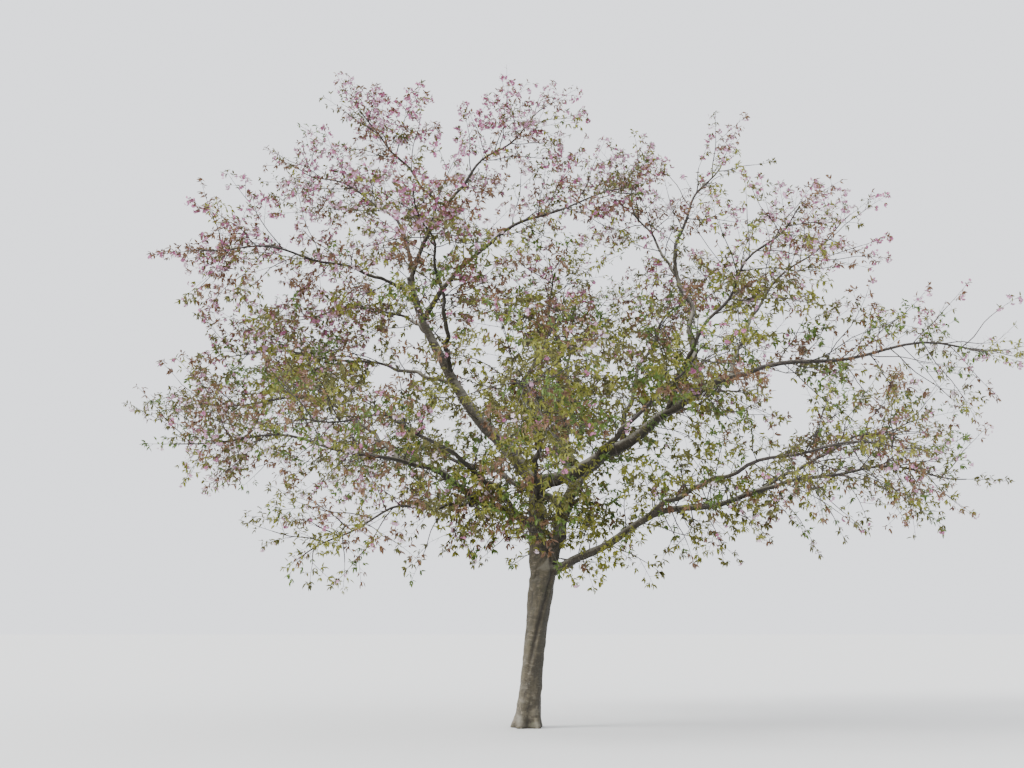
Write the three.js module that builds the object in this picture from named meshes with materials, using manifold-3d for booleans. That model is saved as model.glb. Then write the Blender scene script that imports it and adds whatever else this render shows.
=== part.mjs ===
// A cherry blossom tree: a leaning trunk that forks low down, long tapering boughs, and a mass of twigs
// and leaf sprays at the tip of each bough. Millimetres, +Z up, origin at the middle of the flat cut at
// ground level. Headings are degrees from +X towards +Y, and pitches are degrees above the level.
import * as THREE from "three";
import { mergeVertices } from "three/addons/utils/BufferGeometryUtils.js";
import Module from "manifold-3d";

const METRE = 1000;
const CLEARANCE = 0.3;
const UP = new THREE.Vector3(0, 0, 1);

// The trunk, by its girth, its lean, the flare of its roots and its swelling at the fork. Its lean bends a
// little more as it rises, and its top is rounded off.
const TRUNK = {
  height: 2.3 * METRE,
  leanAtTop: 0.26 * METRE,
  leanBend: 0.38,
  waistRadius: 0.144 * METRE,
  flare: 0.06 * METRE,
  flareHeight: 0.24 * METRE,
  rootLobes: 5,
  rootDepth: 0.18,
  rootTurn: 0.6,
  forkSwell: 0.034 * METRE,
  swellFrom: 0.55,
  swellFull: 0.85,
  roundedFrom: 0.9,
  rounding: 0.55,
  levelUpTo: 1 / 3,
  sides: 20,
  steps: 11,
  ringSpread: 1.6,
};

// How every bough is made: its facets, its taper, the collar it stands on, its knees and its slight waves.
const BOUGH = {
  leastSides: 6,
  sideWidth: 0.011 * METRE,
  leastSteps: 4,
  stepLength: 0.58 * METRE,
  taper: 0.85,
  collar: 0.3,
  collarLength: 1.6,
  kneeWidth: 0.13,
  waves: [1.6, 3.7],
  clearance: CLEARANCE + 0.1,
  joints: 16,
};

// How every mass of foliage grows: twigs on its stem, leaf sprays on the twigs and on the stem, and a bunch
// of blossom hanging under every second twig.
const GROWTH = {
  stemSides: 4,
  stemSteps: 3,
  stemJoints: 8,
  stemEnd: 11,
  stemPitchDroop: 80,
  twigsPerMetre: 1.3,
  twigsFrom: 0.06,
  twigsTo: 0.92,
  twigJitter: 0.8,
  twigTurn: 60,
  twigSplay: [42, 70],
  twigLift: 0.1,
  twigReach: [0.9, 1],
  twigSides: 3,
  twigRadius: 11,
  twigEnd: 8,
  shortestTwig: 220,
  stemSprays: [0.3, 0.66, 1],
  twigSprays: [0.42, 1],
  sprayLength: [640, 900],
  sprayThickness: 0.014,
  sprayDroop: [-0.35, 0.15],
  sprayRoll: [-1.3, 1.3],
  spraySplay: [0.9, 1.5],
  sprayGap: 90,
  endSway: 0.08,
  blossomEvery: 2,
  blossomShare: 0.7,
  blossomRadius: [85, 115],
  blossomHang: 0.8,
  tries: 8,
  shorterEachTry: 0.06,
  edge: 0.04,
  limbGap: 60,
  twigGap: 30,
};

// The outline of a spray, five leaves in one blade: how far along and how far aside its corners stand.
const SPRAY_OUTLINE = [
  [0, 0], [0.44, -0.28], [0.54, -0.08], [0.84, -0.22], [0.8, -0.06],
  [1, 0], [0.66, 0.07], [0.66, 0.27], [0.42, 0.07], [0.26, 0.25],
];
const SPRAY_MIDDLE = 0.42;
const GOLDEN_TURN = 137.5;
const TWIG_CHECKS = [0.2, 0.35, 0.5, 0.65, 0.8, 0.9, 1];

// Each limb starts on another limb at a share of its length. It sets off at the pitch it leaves at, comes to
// its end at the pitch it arrives at, and ends so far away and so much higher along its heading. A knee lifts
// it by so much at a share of its length. Radii and lengths are in metres.
const LIMBS = [
  {
    name: "stem_left", on: "trunk", at: 0.85, heading: 193, reach: 0.08, rise: 1.37,
    leaves: 77, arrives: 90, thick: 0.13, thin: 0.104, crook: 0.01,
  },
  {
    name: "stem_right", on: "trunk", at: 0.81, heading: 31, reach: 0.62, rise: 1.49,
    leaves: 66, arrives: 56, thick: 0.112, thin: 0.078, crook: 0.02,
  },
  {
    name: "bough_right", on: "stem_left", at: 0.98, heading: -16, reach: 2.9, rise: 1.39,
    leaves: 6, arrives: 8, thick: 0.1, thin: 0.036, crook: 0.012, knees: [[0.45, -0.08]],
    mass: { heading: 3, pitch: 7, length: 4.3, width: 2.5, height: 2.3, droop: 0.02 },
  },
  {
    name: "bough_left_high", on: "stem_left", at: 0.98, heading: 161, reach: 1.96, rise: 3.11,
    leaves: 44, arrives: 76, thick: 0.1, thin: 0.046, crook: 0.008, knees: [[0.14, 0.1]],
  },
  {
    name: "bough_top", on: "bough_left_high", at: 0.98, heading: 0, reach: 0.65, rise: 1.35,
    leaves: 78, arrives: 52, thick: 0.036, thin: 0.024, crook: 0.01,
    mass: { heading: 3, pitch: 46, length: 2.6, width: 2.3, height: 1.9, droop: 0 },
  },
  {
    name: "bough_top_left", on: "bough_left_high", at: 0.95, heading: 128, reach: 0.31, rise: 0.98,
    leaves: 96, arrives: 58, thick: 0.034, thin: 0.024, crook: 0.02,
    mass: { heading: 158, pitch: 33, length: 2.8, width: 2.3, height: 1.9, droop: 0 },
  },
  {
    name: "bough_top_middle", on: "bough_top", at: 0.85, heading: 227, reach: 0.55, rise: 0.2,
    leaves: 8, arrives: 36, thick: 0.024, thin: 0.02, crook: 0.02,
    mass: { heading: 218, pitch: 40, length: 2, width: 2.1, height: 1.9, droop: 0 },
  },
  {
    name: "bough_over_middle", on: "bough_left_high", at: 0.8, heading: -27, reach: 1.11, rise: 1.05,
    leaves: 64, arrives: 28, thick: 0.042, thin: 0.027, crook: 0.012,
    mass: { heading: -12, pitch: 20, length: 2.65, width: 2.4, height: 2, droop: 0 },
  },
  {
    name: "bough_left_upper", on: "bough_left_high", at: 0.93, heading: 219, reach: 0.87, rise: 0.16,
    leaves: 14, arrives: 6, thick: 0.03, thin: 0.022, crook: 0.02,
    mass: { heading: 206, pitch: 3, length: 3, width: 2.7, height: 2.4, droop: 0.03 },
  },
  {
    name: "bough_left_mid", on: "bough_left_high", at: 0.5, heading: 137, reach: 1.32, rise: 0.43,
    leaves: 30, arrives: 12, thick: 0.036, thin: 0.024, crook: 0.02,
    mass: { heading: 166, pitch: 9, length: 3.6, width: 2.5, height: 2.3, droop: 0.04 },
  },
  {
    name: "bough_left_low", on: "stem_left", at: 0.55, heading: 207, reach: 2.21, rise: 0.84,
    leaves: 22, arrives: 3, thick: 0.062, thin: 0.028, crook: 0.012, knees: [[0.47, -0.12]],
    mass: { heading: 188, pitch: 12, length: 3.5, width: 2.4, height: 2, droop: 0.16 },
  },
  {
    name: "bough_left_under", on: "bough_left_low", at: 0.4, heading: 227, reach: 1.09, rise: -0.14,
    leaves: -8, arrives: 0, thick: 0.03, thin: 0.02, crook: 0.02,
    mass: { heading: 222, pitch: -12, length: 2.5, width: 3, height: 1.7, droop: 0.16 },
  },
  {
    name: "bough_left_outer", on: "bough_left_low", at: 0.94, heading: 137, reach: 0.88, rise: 0.6,
    leaves: 44, arrives: 26, thick: 0.027, thin: 0.021, crook: 0.02,
    mass: { heading: 163, pitch: 10, length: 3.4, width: 2.3, height: 1.8, droop: 0.07 },
  },
  {
    name: "bough_low_right", on: "trunk", at: 0.86, heading: -16, reach: 3.2, rise: 1.2,
    leaves: 32, arrives: 12, thick: 0.062, thin: 0.03, crook: 0.008, knees: [[0.52, 0.1], [0.75, -0.06]],
    mass: { heading: -5, pitch: 5, length: 3.1, width: 2.4, height: 1.9, droop: 0.06 },
  },
  {
    name: "bough_low_right_up", on: "bough_low_right", at: 0.94, heading: 26, reach: 1.1, rise: 0.53,
    leaves: 30, arrives: 26, thick: 0.027, thin: 0.021, crook: 0.02,
    mass: { heading: 22, pitch: 20, length: 2.4, width: 2.1, height: 1.8, droop: 0.02 },
  },
  {
    name: "bough_right_up", on: "bough_right", at: 0.8, heading: 101, reach: 0.92, rise: 2.2,
    leaves: 66, arrives: 84, thick: 0.046, thin: 0.026, crook: 0.03, swing: -30,
    mass: { heading: 10, pitch: 62, length: 2.35, width: 2.2, height: 2, droop: 0 },
  },
  {
    name: "bough_right_up_left", on: "bough_right_up", at: 0.86, heading: 120, reach: 0.42, rise: 0.5,
    leaves: 44, arrives: 52, thick: 0.025, thin: 0.02, crook: 0.02,
    mass: { heading: 125, pitch: 58, length: 2.4, width: 2.1, height: 2, droop: 0 },
  },
  {
    name: "bough_right_up_right", on: "bough_right", at: 0.94, heading: 62, reach: 1.07, rise: 1.07,
    leaves: 54, arrives: 42, thick: 0.034, thin: 0.024, crook: 0.02,
    mass: { heading: 26, pitch: 43, length: 3.2, width: 2.4, height: 2, droop: 0 },
  },
  {
    name: "bough_centre", on: "bough_right", at: 0.28, heading: -60, reach: 0.85, rise: 0.42,
    leaves: 36, arrives: 22, thick: 0.045, thin: 0.027, crook: 0.02,
    mass: { heading: -66, pitch: 20, length: 2.7, width: 2.7, height: 2, droop: 0 },
  },
  {
    name: "bough_front", on: "stem_left", at: 0.75, heading: 270, reach: 1.27, rise: 0.85,
    leaves: 44, arrives: 26, thick: 0.046, thin: 0.028, crook: 0.02,
    mass: { heading: 264, pitch: 9, length: 3.4, width: 2.9, height: 2.4, droop: 0.08 },
  },
  {
    name: "bough_front_left", on: "bough_left_low", at: 0.1, heading: 234, reach: 1.7, rise: 0.82,
    leaves: 34, arrives: 18, thick: 0.04, thin: 0.026, crook: 0.02,
    mass: { heading: 230, pitch: 7, length: 3.1, width: 2.7, height: 2.2, droop: 0.08 },
  },
  {
    name: "bough_front_right", on: "bough_low_right", at: 0.48, heading: -46, reach: 1.5, rise: 0.5,
    leaves: 36, arrives: 12, thick: 0.038, thin: 0.026, crook: 0.02,
    mass: { heading: -42, pitch: 6, length: 3.1, width: 2.8, height: 2.1, droop: 0.06 },
  },
  {
    name: "bough_front_high", on: "bough_left_high", at: 0.56, heading: 268, reach: 1.15, rise: 0.72,
    leaves: 46, arrives: 30, thick: 0.04, thin: 0.026, crook: 0.02,
    mass: { heading: 262, pitch: 28, length: 2.9, width: 2.9, height: 2.1, droop: 0 },
  },
  {
    name: "bough_front_right_high", on: "bough_right", at: 0.64, heading: -62, reach: 0.85, rise: 1,
    leaves: 58, arrives: 42, thick: 0.036, thin: 0.024, crook: 0.02,
    mass: { heading: -56, pitch: 34, length: 2.8, width: 2.7, height: 2, droop: 0 },
  },
  {
    name: "bough_centre_high", on: "stem_right", at: 0.98, heading: 201, reach: 0.26, rise: 1.23,
    leaves: 76, arrives: 84, thick: 0.045, thin: 0.026, crook: 0.03,
    mass: { heading: 250, pitch: 76, length: 2.6, width: 2.9, height: 2.5, droop: 0 },
  },
  {
    name: "bough_back_right", on: "stem_right", at: 0.98, heading: 44, reach: 1.75, rise: 1.04,
    leaves: 34, arrives: 26, thick: 0.058, thin: 0.03, crook: 0.02,
    mass: { heading: 44, pitch: 20, length: 3.2, width: 2.7, height: 2.2, droop: 0.03 },
  },
  {
    name: "bough_back", on: "stem_right", at: 0.9, heading: 98, reach: 1.58, rise: 1.1,
    leaves: 44, arrives: 28, thick: 0.054, thin: 0.03, crook: 0.02,
    mass: { heading: 94, pitch: 18, length: 3.4, width: 2.8, height: 2.2, droop: 0.03 },
  },
  {
    name: "bough_back_left", on: "stem_right", at: 0.72, heading: 140, reach: 1.95, rise: 0.78,
    leaves: 36, arrives: 14, thick: 0.05, thin: 0.028, crook: 0.02,
    mass: { heading: 138, pitch: 8, length: 3.3, width: 2.7, height: 2.2, droop: 0.06 },
  },
  {
    name: "bough_back_high_right", on: "bough_back_right", at: 0.5, heading: 62, reach: 0.9, rise: 1.5,
    leaves: 62, arrives: 46, thick: 0.038, thin: 0.025, crook: 0.02,
    mass: { heading: 50, pitch: 44, length: 3, width: 2.6, height: 2, droop: 0 },
  },
  {
    name: "bough_back_high_left", on: "bough_left_high", at: 0.7, heading: 116, reach: 0.9, rise: 0.5,
    leaves: 40, arrives: 22, thick: 0.036, thin: 0.025, crook: 0.02,
    mass: { heading: 150, pitch: 8, length: 3, width: 2.5, height: 2.1, droop: 0.03 },
  },
  {
    name: "bough_back_high", on: "bough_back", at: 0.45, heading: 84, reach: 0.65, rise: 1.45,
    leaves: 66, arrives: 50, thick: 0.036, thin: 0.024, crook: 0.02,
    mass: { heading: 84, pitch: 42, length: 2.6, width: 2.6, height: 2, droop: 0 },
  },
];

const MATERIALS = {
  bark: new THREE.MeshStandardMaterial({ color: 0x6b5d4e, roughness: 0.9, metalness: 0 }),
  foliage: new THREE.MeshStandardMaterial({ color: 0x8a8447, roughness: 0.8, metalness: 0 }),
};

const wasm = await Module();
wasm.setup();

const radians = (degrees) => (degrees * Math.PI) / 180;
const between = (range, share) => range[0] + (range[1] - range[0]) * share;
const smooth = (share) => {
  const s = Math.min(1, Math.max(0, share));
  return s * s * (3 - 2 * s);
};

// A repeatable stream of numbers from 0 to 1.
function seeded(seed) {
  let state = seed >>> 0;
  return () => {
    state = (state + 0x6d2b79f5) >>> 0;
    let mixed = Math.imul(state ^ (state >>> 15), state | 1);
    mixed ^= mixed + Math.imul(mixed ^ (mixed >>> 7), mixed | 61);
    return ((mixed ^ (mixed >>> 14)) >>> 0) / 4294967296;
  };
}

function direction(heading, pitch) {
  const [turn, climb] = [radians(heading), radians(pitch)];
  const level = new THREE.Vector3(Math.cos(turn), Math.sin(turn), 0);
  return level.multiplyScalar(Math.cos(climb)).setZ(Math.sin(climb));
}

// The smooth curve from start to end that sets off along one direction and arrives along another.
function hermite(start, end, leaving, arriving, t) {
  const [t2, t3] = [t * t, t * t * t];
  return new THREE.Vector3()
    .addScaledVector(start, 2 * t3 - 3 * t2 + 1)
    .addScaledVector(leaving, t3 - 2 * t2 + t)
    .addScaledVector(end, 3 * t2 - 2 * t3)
    .addScaledVector(arriving, t3 - t2);
}

function tangentOf(point, t) {
  const step = 0.004;
  return point(Math.min(1, t + step)).sub(point(Math.max(0, t - step))).normalize();
}

// The trunk's radius flares into root lobes at the ground.
function trunkLimb() {
  const lean = (t) => TRUNK.leanAtTop * ((1 - TRUNK.leanBend) * t + TRUNK.leanBend * t * t);
  const point = (t) => new THREE.Vector3(lean(t), 0, TRUNK.height * t);
  const radius = (t, angle = 0) => {
    const height = TRUNK.height * t;
    const foot = Math.exp(-height / TRUNK.flareHeight);
    const lobes = 1 + TRUNK.rootDepth * foot * Math.cos(TRUNK.rootLobes * angle + TRUNK.rootTurn);
    const swell = TRUNK.forkSwell * smooth((t - TRUNK.swellFrom) / (TRUNK.swellFull - TRUNK.swellFrom));
    const rounded = 1 - TRUNK.rounding * smooth((t - TRUNK.roundedFrom) / (1 - TRUNK.roundedFrom));
    return (TRUNK.waistRadius + TRUNK.flare * foot + swell) * lobes * rounded;
  };
  const { height: length, sides, steps, ringSpread } = TRUNK;
  return { name: "trunk", point, radius, length, sides, steps, ringSpread };
}

// A bough's axis: the smooth curve between its two ends, with its knees and a slight crook of its own.
function boughLimb(row, index, limbs) {
  const start = limbs.get(row.on).point(row.at);
  const end = start.clone().addScaledVector(direction(row.heading, 0), row.reach * METRE);
  end.addScaledVector(UP, row.rise * METRE);
  const length = start.distanceTo(end);
  const swing = row.swing ?? 0;
  const leaving = direction(row.heading + swing, row.leaves).multiplyScalar(length);
  const arriving = direction(row.heading - swing / 2, row.arrives).multiplyScalar(length);
  const side = direction(row.heading + 90, 0);
  const random = seeded(index * 101 + 7);
  const phases = [random(), random(), random(), random()];
  const turn = 2 * Math.PI;
  const [long, short] = BOUGH.waves;
  const wave = (t, a, b) => Math.sin(turn * (long * t + a)) + Math.sin(turn * (short * t + b)) / 2;
  const point = (t) => {
    const place = hermite(start, end, leaving, arriving, t);
    const ease = Math.sin(Math.PI * t) * row.crook * length;
    place.addScaledVector(side, ease * wave(t, phases[0], phases[1]));
    place.addScaledVector(UP, ease * wave(t, phases[2], phases[3]));
    for (const [share, lift] of row.knees ?? []) {
      const near = Math.exp(-(((t - share) / BOUGH.kneeWidth) ** 2)) * Math.sin(Math.PI * t);
      place.addScaledVector(UP, lift * METRE * near);
    }
    return place;
  };
  const [thick, thin] = [row.thick * METRE, row.thin * METRE];
  const radius = (t) => {
    const collar = 1 + BOUGH.collar * Math.exp(-((t * length) / (BOUGH.collarLength * thick)));
    return (thin + (thick - thin) * (1 - t) ** BOUGH.taper) * collar;
  };
  const sides = Math.max(BOUGH.leastSides, Math.round(thick / BOUGH.sideWidth));
  const steps = Math.max(BOUGH.leastSteps, Math.round(length / BOUGH.stepLength));
  return { name: row.name, on: row.on, mass: row.mass, point, radius, length, sides, steps, index };
}

// A closed cylinder bent along a limb's axis. The trunk's foot is level, for its flat cut at the ground, and
// its rings stand closer together there.
function bentCylinder(limb, sides, steps, grown = 0) {
  const shape = new THREE.CylinderGeometry(1, 1, 1, sides, steps);
  shape.deleteAttribute("normal");
  shape.deleteAttribute("uv");
  const rings = [];
  let across = new THREE.Vector3(0, 1, 0);
  for (let i = 0; i <= steps; i += 1) {
    const t = (i / steps) ** (limb.ringSpread ?? 1);
    const ahead = tangentOf(limb.point, t);
    if (limb.ringSpread) ahead.lerp(UP, 1 - smooth(t / TRUNK.levelUpTo)).normalize();
    across = across.clone().addScaledVector(ahead, -across.dot(ahead)).normalize();
    const stretch = i === 0 ? -grown : i === steps ? grown : 0;
    const centre = limb.point(t).addScaledVector(ahead, stretch);
    rings.push({ t, centre, across, third: new THREE.Vector3().crossVectors(across, ahead) });
  }
  const places = shape.getAttribute("position");
  for (let i = 0; i < places.count; i += 1) {
    const [x, y, z] = [places.getX(i), places.getY(i), places.getZ(i)];
    const ring = rings[Math.round((y + 0.5) * steps)];
    const out = Math.hypot(x, z) > 0.5 ? limb.radius(ring.t, Math.atan2(z, x)) + grown : 0;
    const place = ring.centre.clone().addScaledVector(ring.across, x * out);
    places.setXYZ(i, ...place.addScaledVector(ring.third, z * out));
  }
  return mergeVertices(shape, 1e-4);
}

function solidFrom(geometry) {
  return new wasm.Manifold(
    new wasm.Mesh({
      numProp: 3,
      vertProperties: geometry.getAttribute("position").array,
      triVerts: new Uint32Array(geometry.index.array),
    }),
  );
}

// The largest body of a solid, so that loose scraps and sealed hollows are left behind.
function largest(solid) {
  const bodies = solid.decompose();
  return bodies.reduce((best, body) => (body.volume() > best.volume() ? body : best));
}

function meshFrom(solid, name, material) {
  const made = solid.getMesh();
  const places = new Float32Array(made.numVert * 3);
  for (let i = 0; i < made.numVert; i += 1) {
    places.set(made.vertProperties.subarray(i * made.numProp, i * made.numProp + 3), i * 3);
  }
  const geometry = new THREE.BufferGeometry();
  geometry.setAttribute("position", new THREE.BufferAttribute(places, 3));
  geometry.setIndex(new THREE.BufferAttribute(new Uint32Array(made.triVerts), 1));
  geometry.computeVertexNormals();
  const mesh = new THREE.Mesh(geometry, material);
  mesh.name = name;
  return mesh;
}

// The egg-shaped space of a mass: it begins at its bough's tip and runs on along the mass's own heading.
function spaceOf(limb) {
  const { heading, pitch, length, width, height } = limb.mass;
  const ahead = direction(heading, pitch);
  const side = direction(heading + 90, 0);
  const top = new THREE.Vector3().crossVectors(ahead, side);
  const halves = [length, width, height].map((size) => (size * METRE) / 2);
  const centre = limb.point(1).addScaledVector(ahead, halves[0]);
  const axes = [ahead, side, top];
  const local = (v) => new THREE.Vector3(...axes.map((axis, i) => v.dot(axis) / halves[i]));
  return {
    ahead,
    side,
    depth: (place) => local(place.clone().sub(centre)).length(),
    // How far a ray from a place inside goes before it meets the skin of the space.
    reach: (place, way) => {
      const [o, d] = [local(place.clone().sub(centre)), local(way)];
      const [a, b, c] = [d.dot(d), o.dot(d), o.dot(o) - 1];
      return c > 0 ? 0 : (-b + Math.sqrt(b * b - a * c)) / a;
    },
  };
}

// The stem of a mass goes on from its bough's tip, just clear of it.
function stemLimb(limb, space) {
  const { heading, pitch, length, droop } = limb.mass;
  const way = tangentOf(limb.point, 1);
  const start = limb.point(1).addScaledVector(way, CLEARANCE);
  const run = length * METRE - GROWTH.sprayLength[0];
  const end = start.clone().addScaledVector(space.ahead, run).addScaledVector(UP, -droop * run);
  const leaving = way.multiplyScalar(run);
  const arriving = direction(heading, pitch - GROWTH.stemPitchDroop * droop).multiplyScalar(run);
  const thick = limb.radius(1);
  return {
    name: limb.name.replace("bough", "mass"),
    point: (t) => hermite(start, end, leaving, arriving, t),
    radius: (t) => GROWTH.stemEnd + (thick - GROWTH.stemEnd) * (1 - t),
    length: run,
  };
}

// A limb's axis as a chain of places, each with the limb's radius there.
function jointsOf(limb, count) {
  const shares = Array.from({ length: count + 1 }, (_, i) => i / count);
  return shares.map((t) => ({ place: limb.point(t), radius: limb.radius(t) }));
}

// The gap between a place and the nearest limb's surface.
function gapTo(skeletons, place) {
  const nearest = new THREE.Vector3();
  const line = new THREE.Line3();
  let gap = Infinity;
  for (const joints of skeletons) {
    for (let i = 1; i < joints.length; i += 1) {
      line.set(joints[i - 1].place, joints[i].place).closestPointToPoint(place, true, nearest);
      gap = Math.min(gap, nearest.distanceTo(place) - joints[i - 1].radius);
    }
  }
  return gap;
}

// True where a place is inside its own mass's space, nearer its middle than any other's, and off the limbs.
function freeFor(own, spaces, skeletons) {
  return (place) => {
    const depth = own.depth(place);
    if (depth > 1) return false;
    if (spaces.some((other) => other !== own && other.depth(place) < depth + GROWTH.edge)) return false;
    return gapTo(skeletons, place) > GROWTH.limbGap;
  };
}

// The twigs of a mass stand round its stem by the golden turn. One that isn't free is shortened or turned.
function twigsOn(stem, space, seed, free) {
  const count = Math.round((GROWTH.twigsPerMetre * stem.length) / METRE);
  const made = [];
  for (let k = 0; k < count; k += 1) {
    const random = seeded(seed + k * 17);
    const share = between([GROWTH.twigsFrom, GROWTH.twigsTo], (k + GROWTH.twigJitter * random()) / count);
    const start = stem.point(share);
    const ahead = tangentOf(stem.point, share);
    const side = space.side.clone().addScaledVector(ahead, -space.side.dot(ahead)).normalize();
    const top = new THREE.Vector3().crossVectors(ahead, side);
    for (let attempt = 0; attempt < GROWTH.tries; attempt += 1) {
      const turn = radians(k * GOLDEN_TURN + GROWTH.twigTurn * (random() - 0.5) * (1 + attempt));
      const splay = radians(between(GROWTH.twigSplay, random()));
      const way = ahead.clone().multiplyScalar(Math.cos(splay)).addScaledVector(UP, GROWTH.twigLift);
      way.addScaledVector(side, Math.sin(splay) * Math.cos(turn));
      way.addScaledVector(top, Math.sin(splay) * Math.sin(turn)).normalize();
      const full = space.reach(start, way) * between(GROWTH.twigReach, random()) - GROWTH.sprayLength[0];
      const length = Math.max(full * (1 - GROWTH.shorterEachTry * attempt), GROWTH.shortestTwig);
      const point = (t) => start.clone().addScaledVector(way, length * t);
      if (TWIG_CHECKS.every((t) => free(point(t)))) {
        const radius = (t) => between([GROWTH.twigRadius, GROWTH.twigEnd], t);
        made.push({ point, radius, length, seed: seed + 500 + k * 10 });
        break;
      }
    }
  }
  return made;
}

// A leaf spray is a flat blade with five tips, thickest at its middle. Its root is sunk in its twig.
function leafSpray(root, way, roll, length) {
  const across = new THREE.Vector3().crossVectors(way, UP).normalize().applyAxisAngle(way, roll);
  const face = new THREE.Vector3().crossVectors(way, across);
  const shape = new THREE.SphereGeometry(1, SPRAY_OUTLINE.length, 2);
  shape.deleteAttribute("normal");
  shape.deleteAttribute("uv");
  const spot = (along, aside, lift) => {
    const place = root.clone().addScaledVector(way, length * along);
    return place.addScaledVector(across, length * aside).addScaledVector(face, length * lift);
  };
  const corners = shape.getAttribute("position");
  for (let i = 0; i < corners.count; i += 1) {
    const [x, y, z] = [corners.getX(i), corners.getY(i), corners.getZ(i)];
    const turn = Math.round((Math.atan2(z, -x) / (2 * Math.PI) + 1) * SPRAY_OUTLINE.length);
    const pole = Math.abs(y) > 0.5;
    const [along, aside] = pole ? [SPRAY_MIDDLE, 0] : SPRAY_OUTLINE[turn % SPRAY_OUTLINE.length];
    corners.setXYZ(i, ...spot(along, aside, pole ? (y * GROWTH.sprayThickness) / 2 : 0));
  }
  const outer = SPRAY_OUTLINE.slice(1);
  const places = outer.map(([along, aside]) => spot(along, aside, 0));
  places.push(...outer.map(([along, aside]) => spot((along + SPRAY_MIDDLE) / 2, aside / 2, 0)));
  return { places, shape: mergeVertices(shape, 1e-4) };
}

// The sprays along a twig: one carries on from its end, and the others stand out to either side of it. They
// keep clear of the places that are already taken.
function spraysOn(twig, shares, seed, free, placed) {
  const shapes = [];
  shares.forEach((share, k) => {
    const random = seeded(seed + k * 29);
    const ahead = tangentOf(twig.point, share);
    const aside = new THREE.Vector3().crossVectors(ahead, UP).normalize();
    const root = twig.point(share).addScaledVector(ahead, share < 1 ? 0 : -GROWTH.twigEnd);
    for (let attempt = 0; attempt < GROWTH.tries; attempt += 1) {
      const way = ahead.clone().addScaledVector(UP, between(GROWTH.sprayDroop, random()));
      const out = between(GROWTH.spraySplay, random()) * ((seed + k + attempt) % 2 ? 1 : -1);
      way.addScaledVector(aside, share < 1 ? out : GROWTH.endSway * attempt * out).normalize();
      const length = between(GROWTH.sprayLength, random()) * (1 - GROWTH.shorterEachTry * attempt);
      const spray = leafSpray(root, way, between(GROWTH.sprayRoll, random()), length);
      const apart = (place) => placed.every((other) => other.distanceTo(place) > GROWTH.sprayGap);
      if (spray.places.every((place) => free(place) && apart(place))) {
        placed.push(...spray.places);
        shapes.push(spray.shape);
        break;
      }
    }
  });
  return shapes;
}

// A bunch of blossom hangs from the underside of a twig, with its top sunk in the twig.
function blossomBunch(twig, free) {
  const random = seeded(twig.seed + 3);
  const radius = between(GROWTH.blossomRadius, random());
  const hang = radius * GROWTH.blossomHang;
  const centre = twig.point(GROWTH.blossomShare).addScaledVector(UP, -hang);
  const ways = [[1, 0, 0], [-1, 0, 0], [0, 1, 0], [0, -1, 0], [0, 0, -1]];
  const clear = (way) => free(centre.clone().addScaledVector(new THREE.Vector3(...way), radius));
  if (!ways.every(clear)) return [];
  const shape = new THREE.OctahedronGeometry(1);
  shape.deleteAttribute("normal");
  shape.deleteAttribute("uv");
  shape.rotateZ(random() * Math.PI).scale(radius, radius, hang).translate(...centre);
  return [mergeVertices(shape, 1e-4)];
}

// One mass: a stem, its twigs, their leaf sprays and bunches of blossom, fused into one solid.
function growMass(limb, stem, space, free) {
  const seed = limb.index * 1000;
  const twigs = twigsOn(stem, space, seed, free);
  const own = [jointsOf(stem, GROWTH.stemJoints), ...twigs.map((twig) => jointsOf(twig, 1))];
  const clear = (place) => free(place) && gapTo(own, place) > GROWTH.twigGap;
  const placed = [];
  const sprays = spraysOn(stem, GROWTH.stemSprays, seed + 5, clear, placed);
  sprays.push(...twigs.flatMap((twig) => spraysOn(twig, GROWTH.twigSprays, twig.seed, clear, placed)));
  const solids = [solidFrom(bentCylinder(stem, GROWTH.stemSides, GROWTH.stemSteps))];
  solids.push(...twigs.map((twig) => solidFrom(bentCylinder(twig, GROWTH.twigSides, 1))));
  const bearing = twigs.filter((_, i) => i % GROWTH.blossomEvery === 0);
  solids.push(...[...sprays, ...bearing.flatMap((twig) => blossomBunch(twig, free))].map(solidFrom));
  return largest(wasm.Manifold.union(solids));
}

// The limbs, each cut clear of its parent and of the limbs that share its fork.
function cutLimbs(limbs) {
  const solids = new Map();
  const grown = new Map();
  for (const limb of limbs.values()) {
    let solid = solidFrom(bentCylinder(limb, limb.sides, limb.steps));
    for (const other of limbs.values()) {
      if (grown.has(other.name) && (other.name === limb.on || other.on === limb.on)) {
        solid = solid.subtract(grown.get(other.name));
      }
    }
    solids.set(limb.name, largest(solid));
    grown.set(limb.name, solidFrom(bentCylinder(limb, limb.sides, limb.steps, BOUGH.clearance)));
  }
  return solids;
}

function cherryTree() {
  const tree = new THREE.Group();
  const limbs = new Map([["trunk", trunkLimb()]]);
  LIMBS.forEach((row, i) => limbs.set(row.name, boughLimb(row, i + 1, limbs)));
  for (const [name, solid] of cutLimbs(limbs)) tree.add(meshFrom(solid, name, MATERIALS.bark));

  const carriers = [...limbs.values()].filter((limb) => limb.mass);
  const spaces = carriers.map(spaceOf);
  const stems = carriers.map((limb, i) => stemLimb(limb, spaces[i]));
  const limbJoints = [...limbs.values()].map((limb) => jointsOf(limb, BOUGH.joints));
  const stemJoints = stems.map((stem) => jointsOf(stem, GROWTH.stemJoints));
  carriers.forEach((limb, i) => {
    const skeletons = [...limbJoints, ...stemJoints.filter((_, j) => j !== i)];
    const solid = growMass(limb, stems[i], spaces[i], freeFor(spaces[i], spaces, skeletons));
    tree.add(meshFrom(solid, stems[i].name, MATERIALS.foliage));
  });
  return tree;
}

export default cherryTree();
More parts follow.
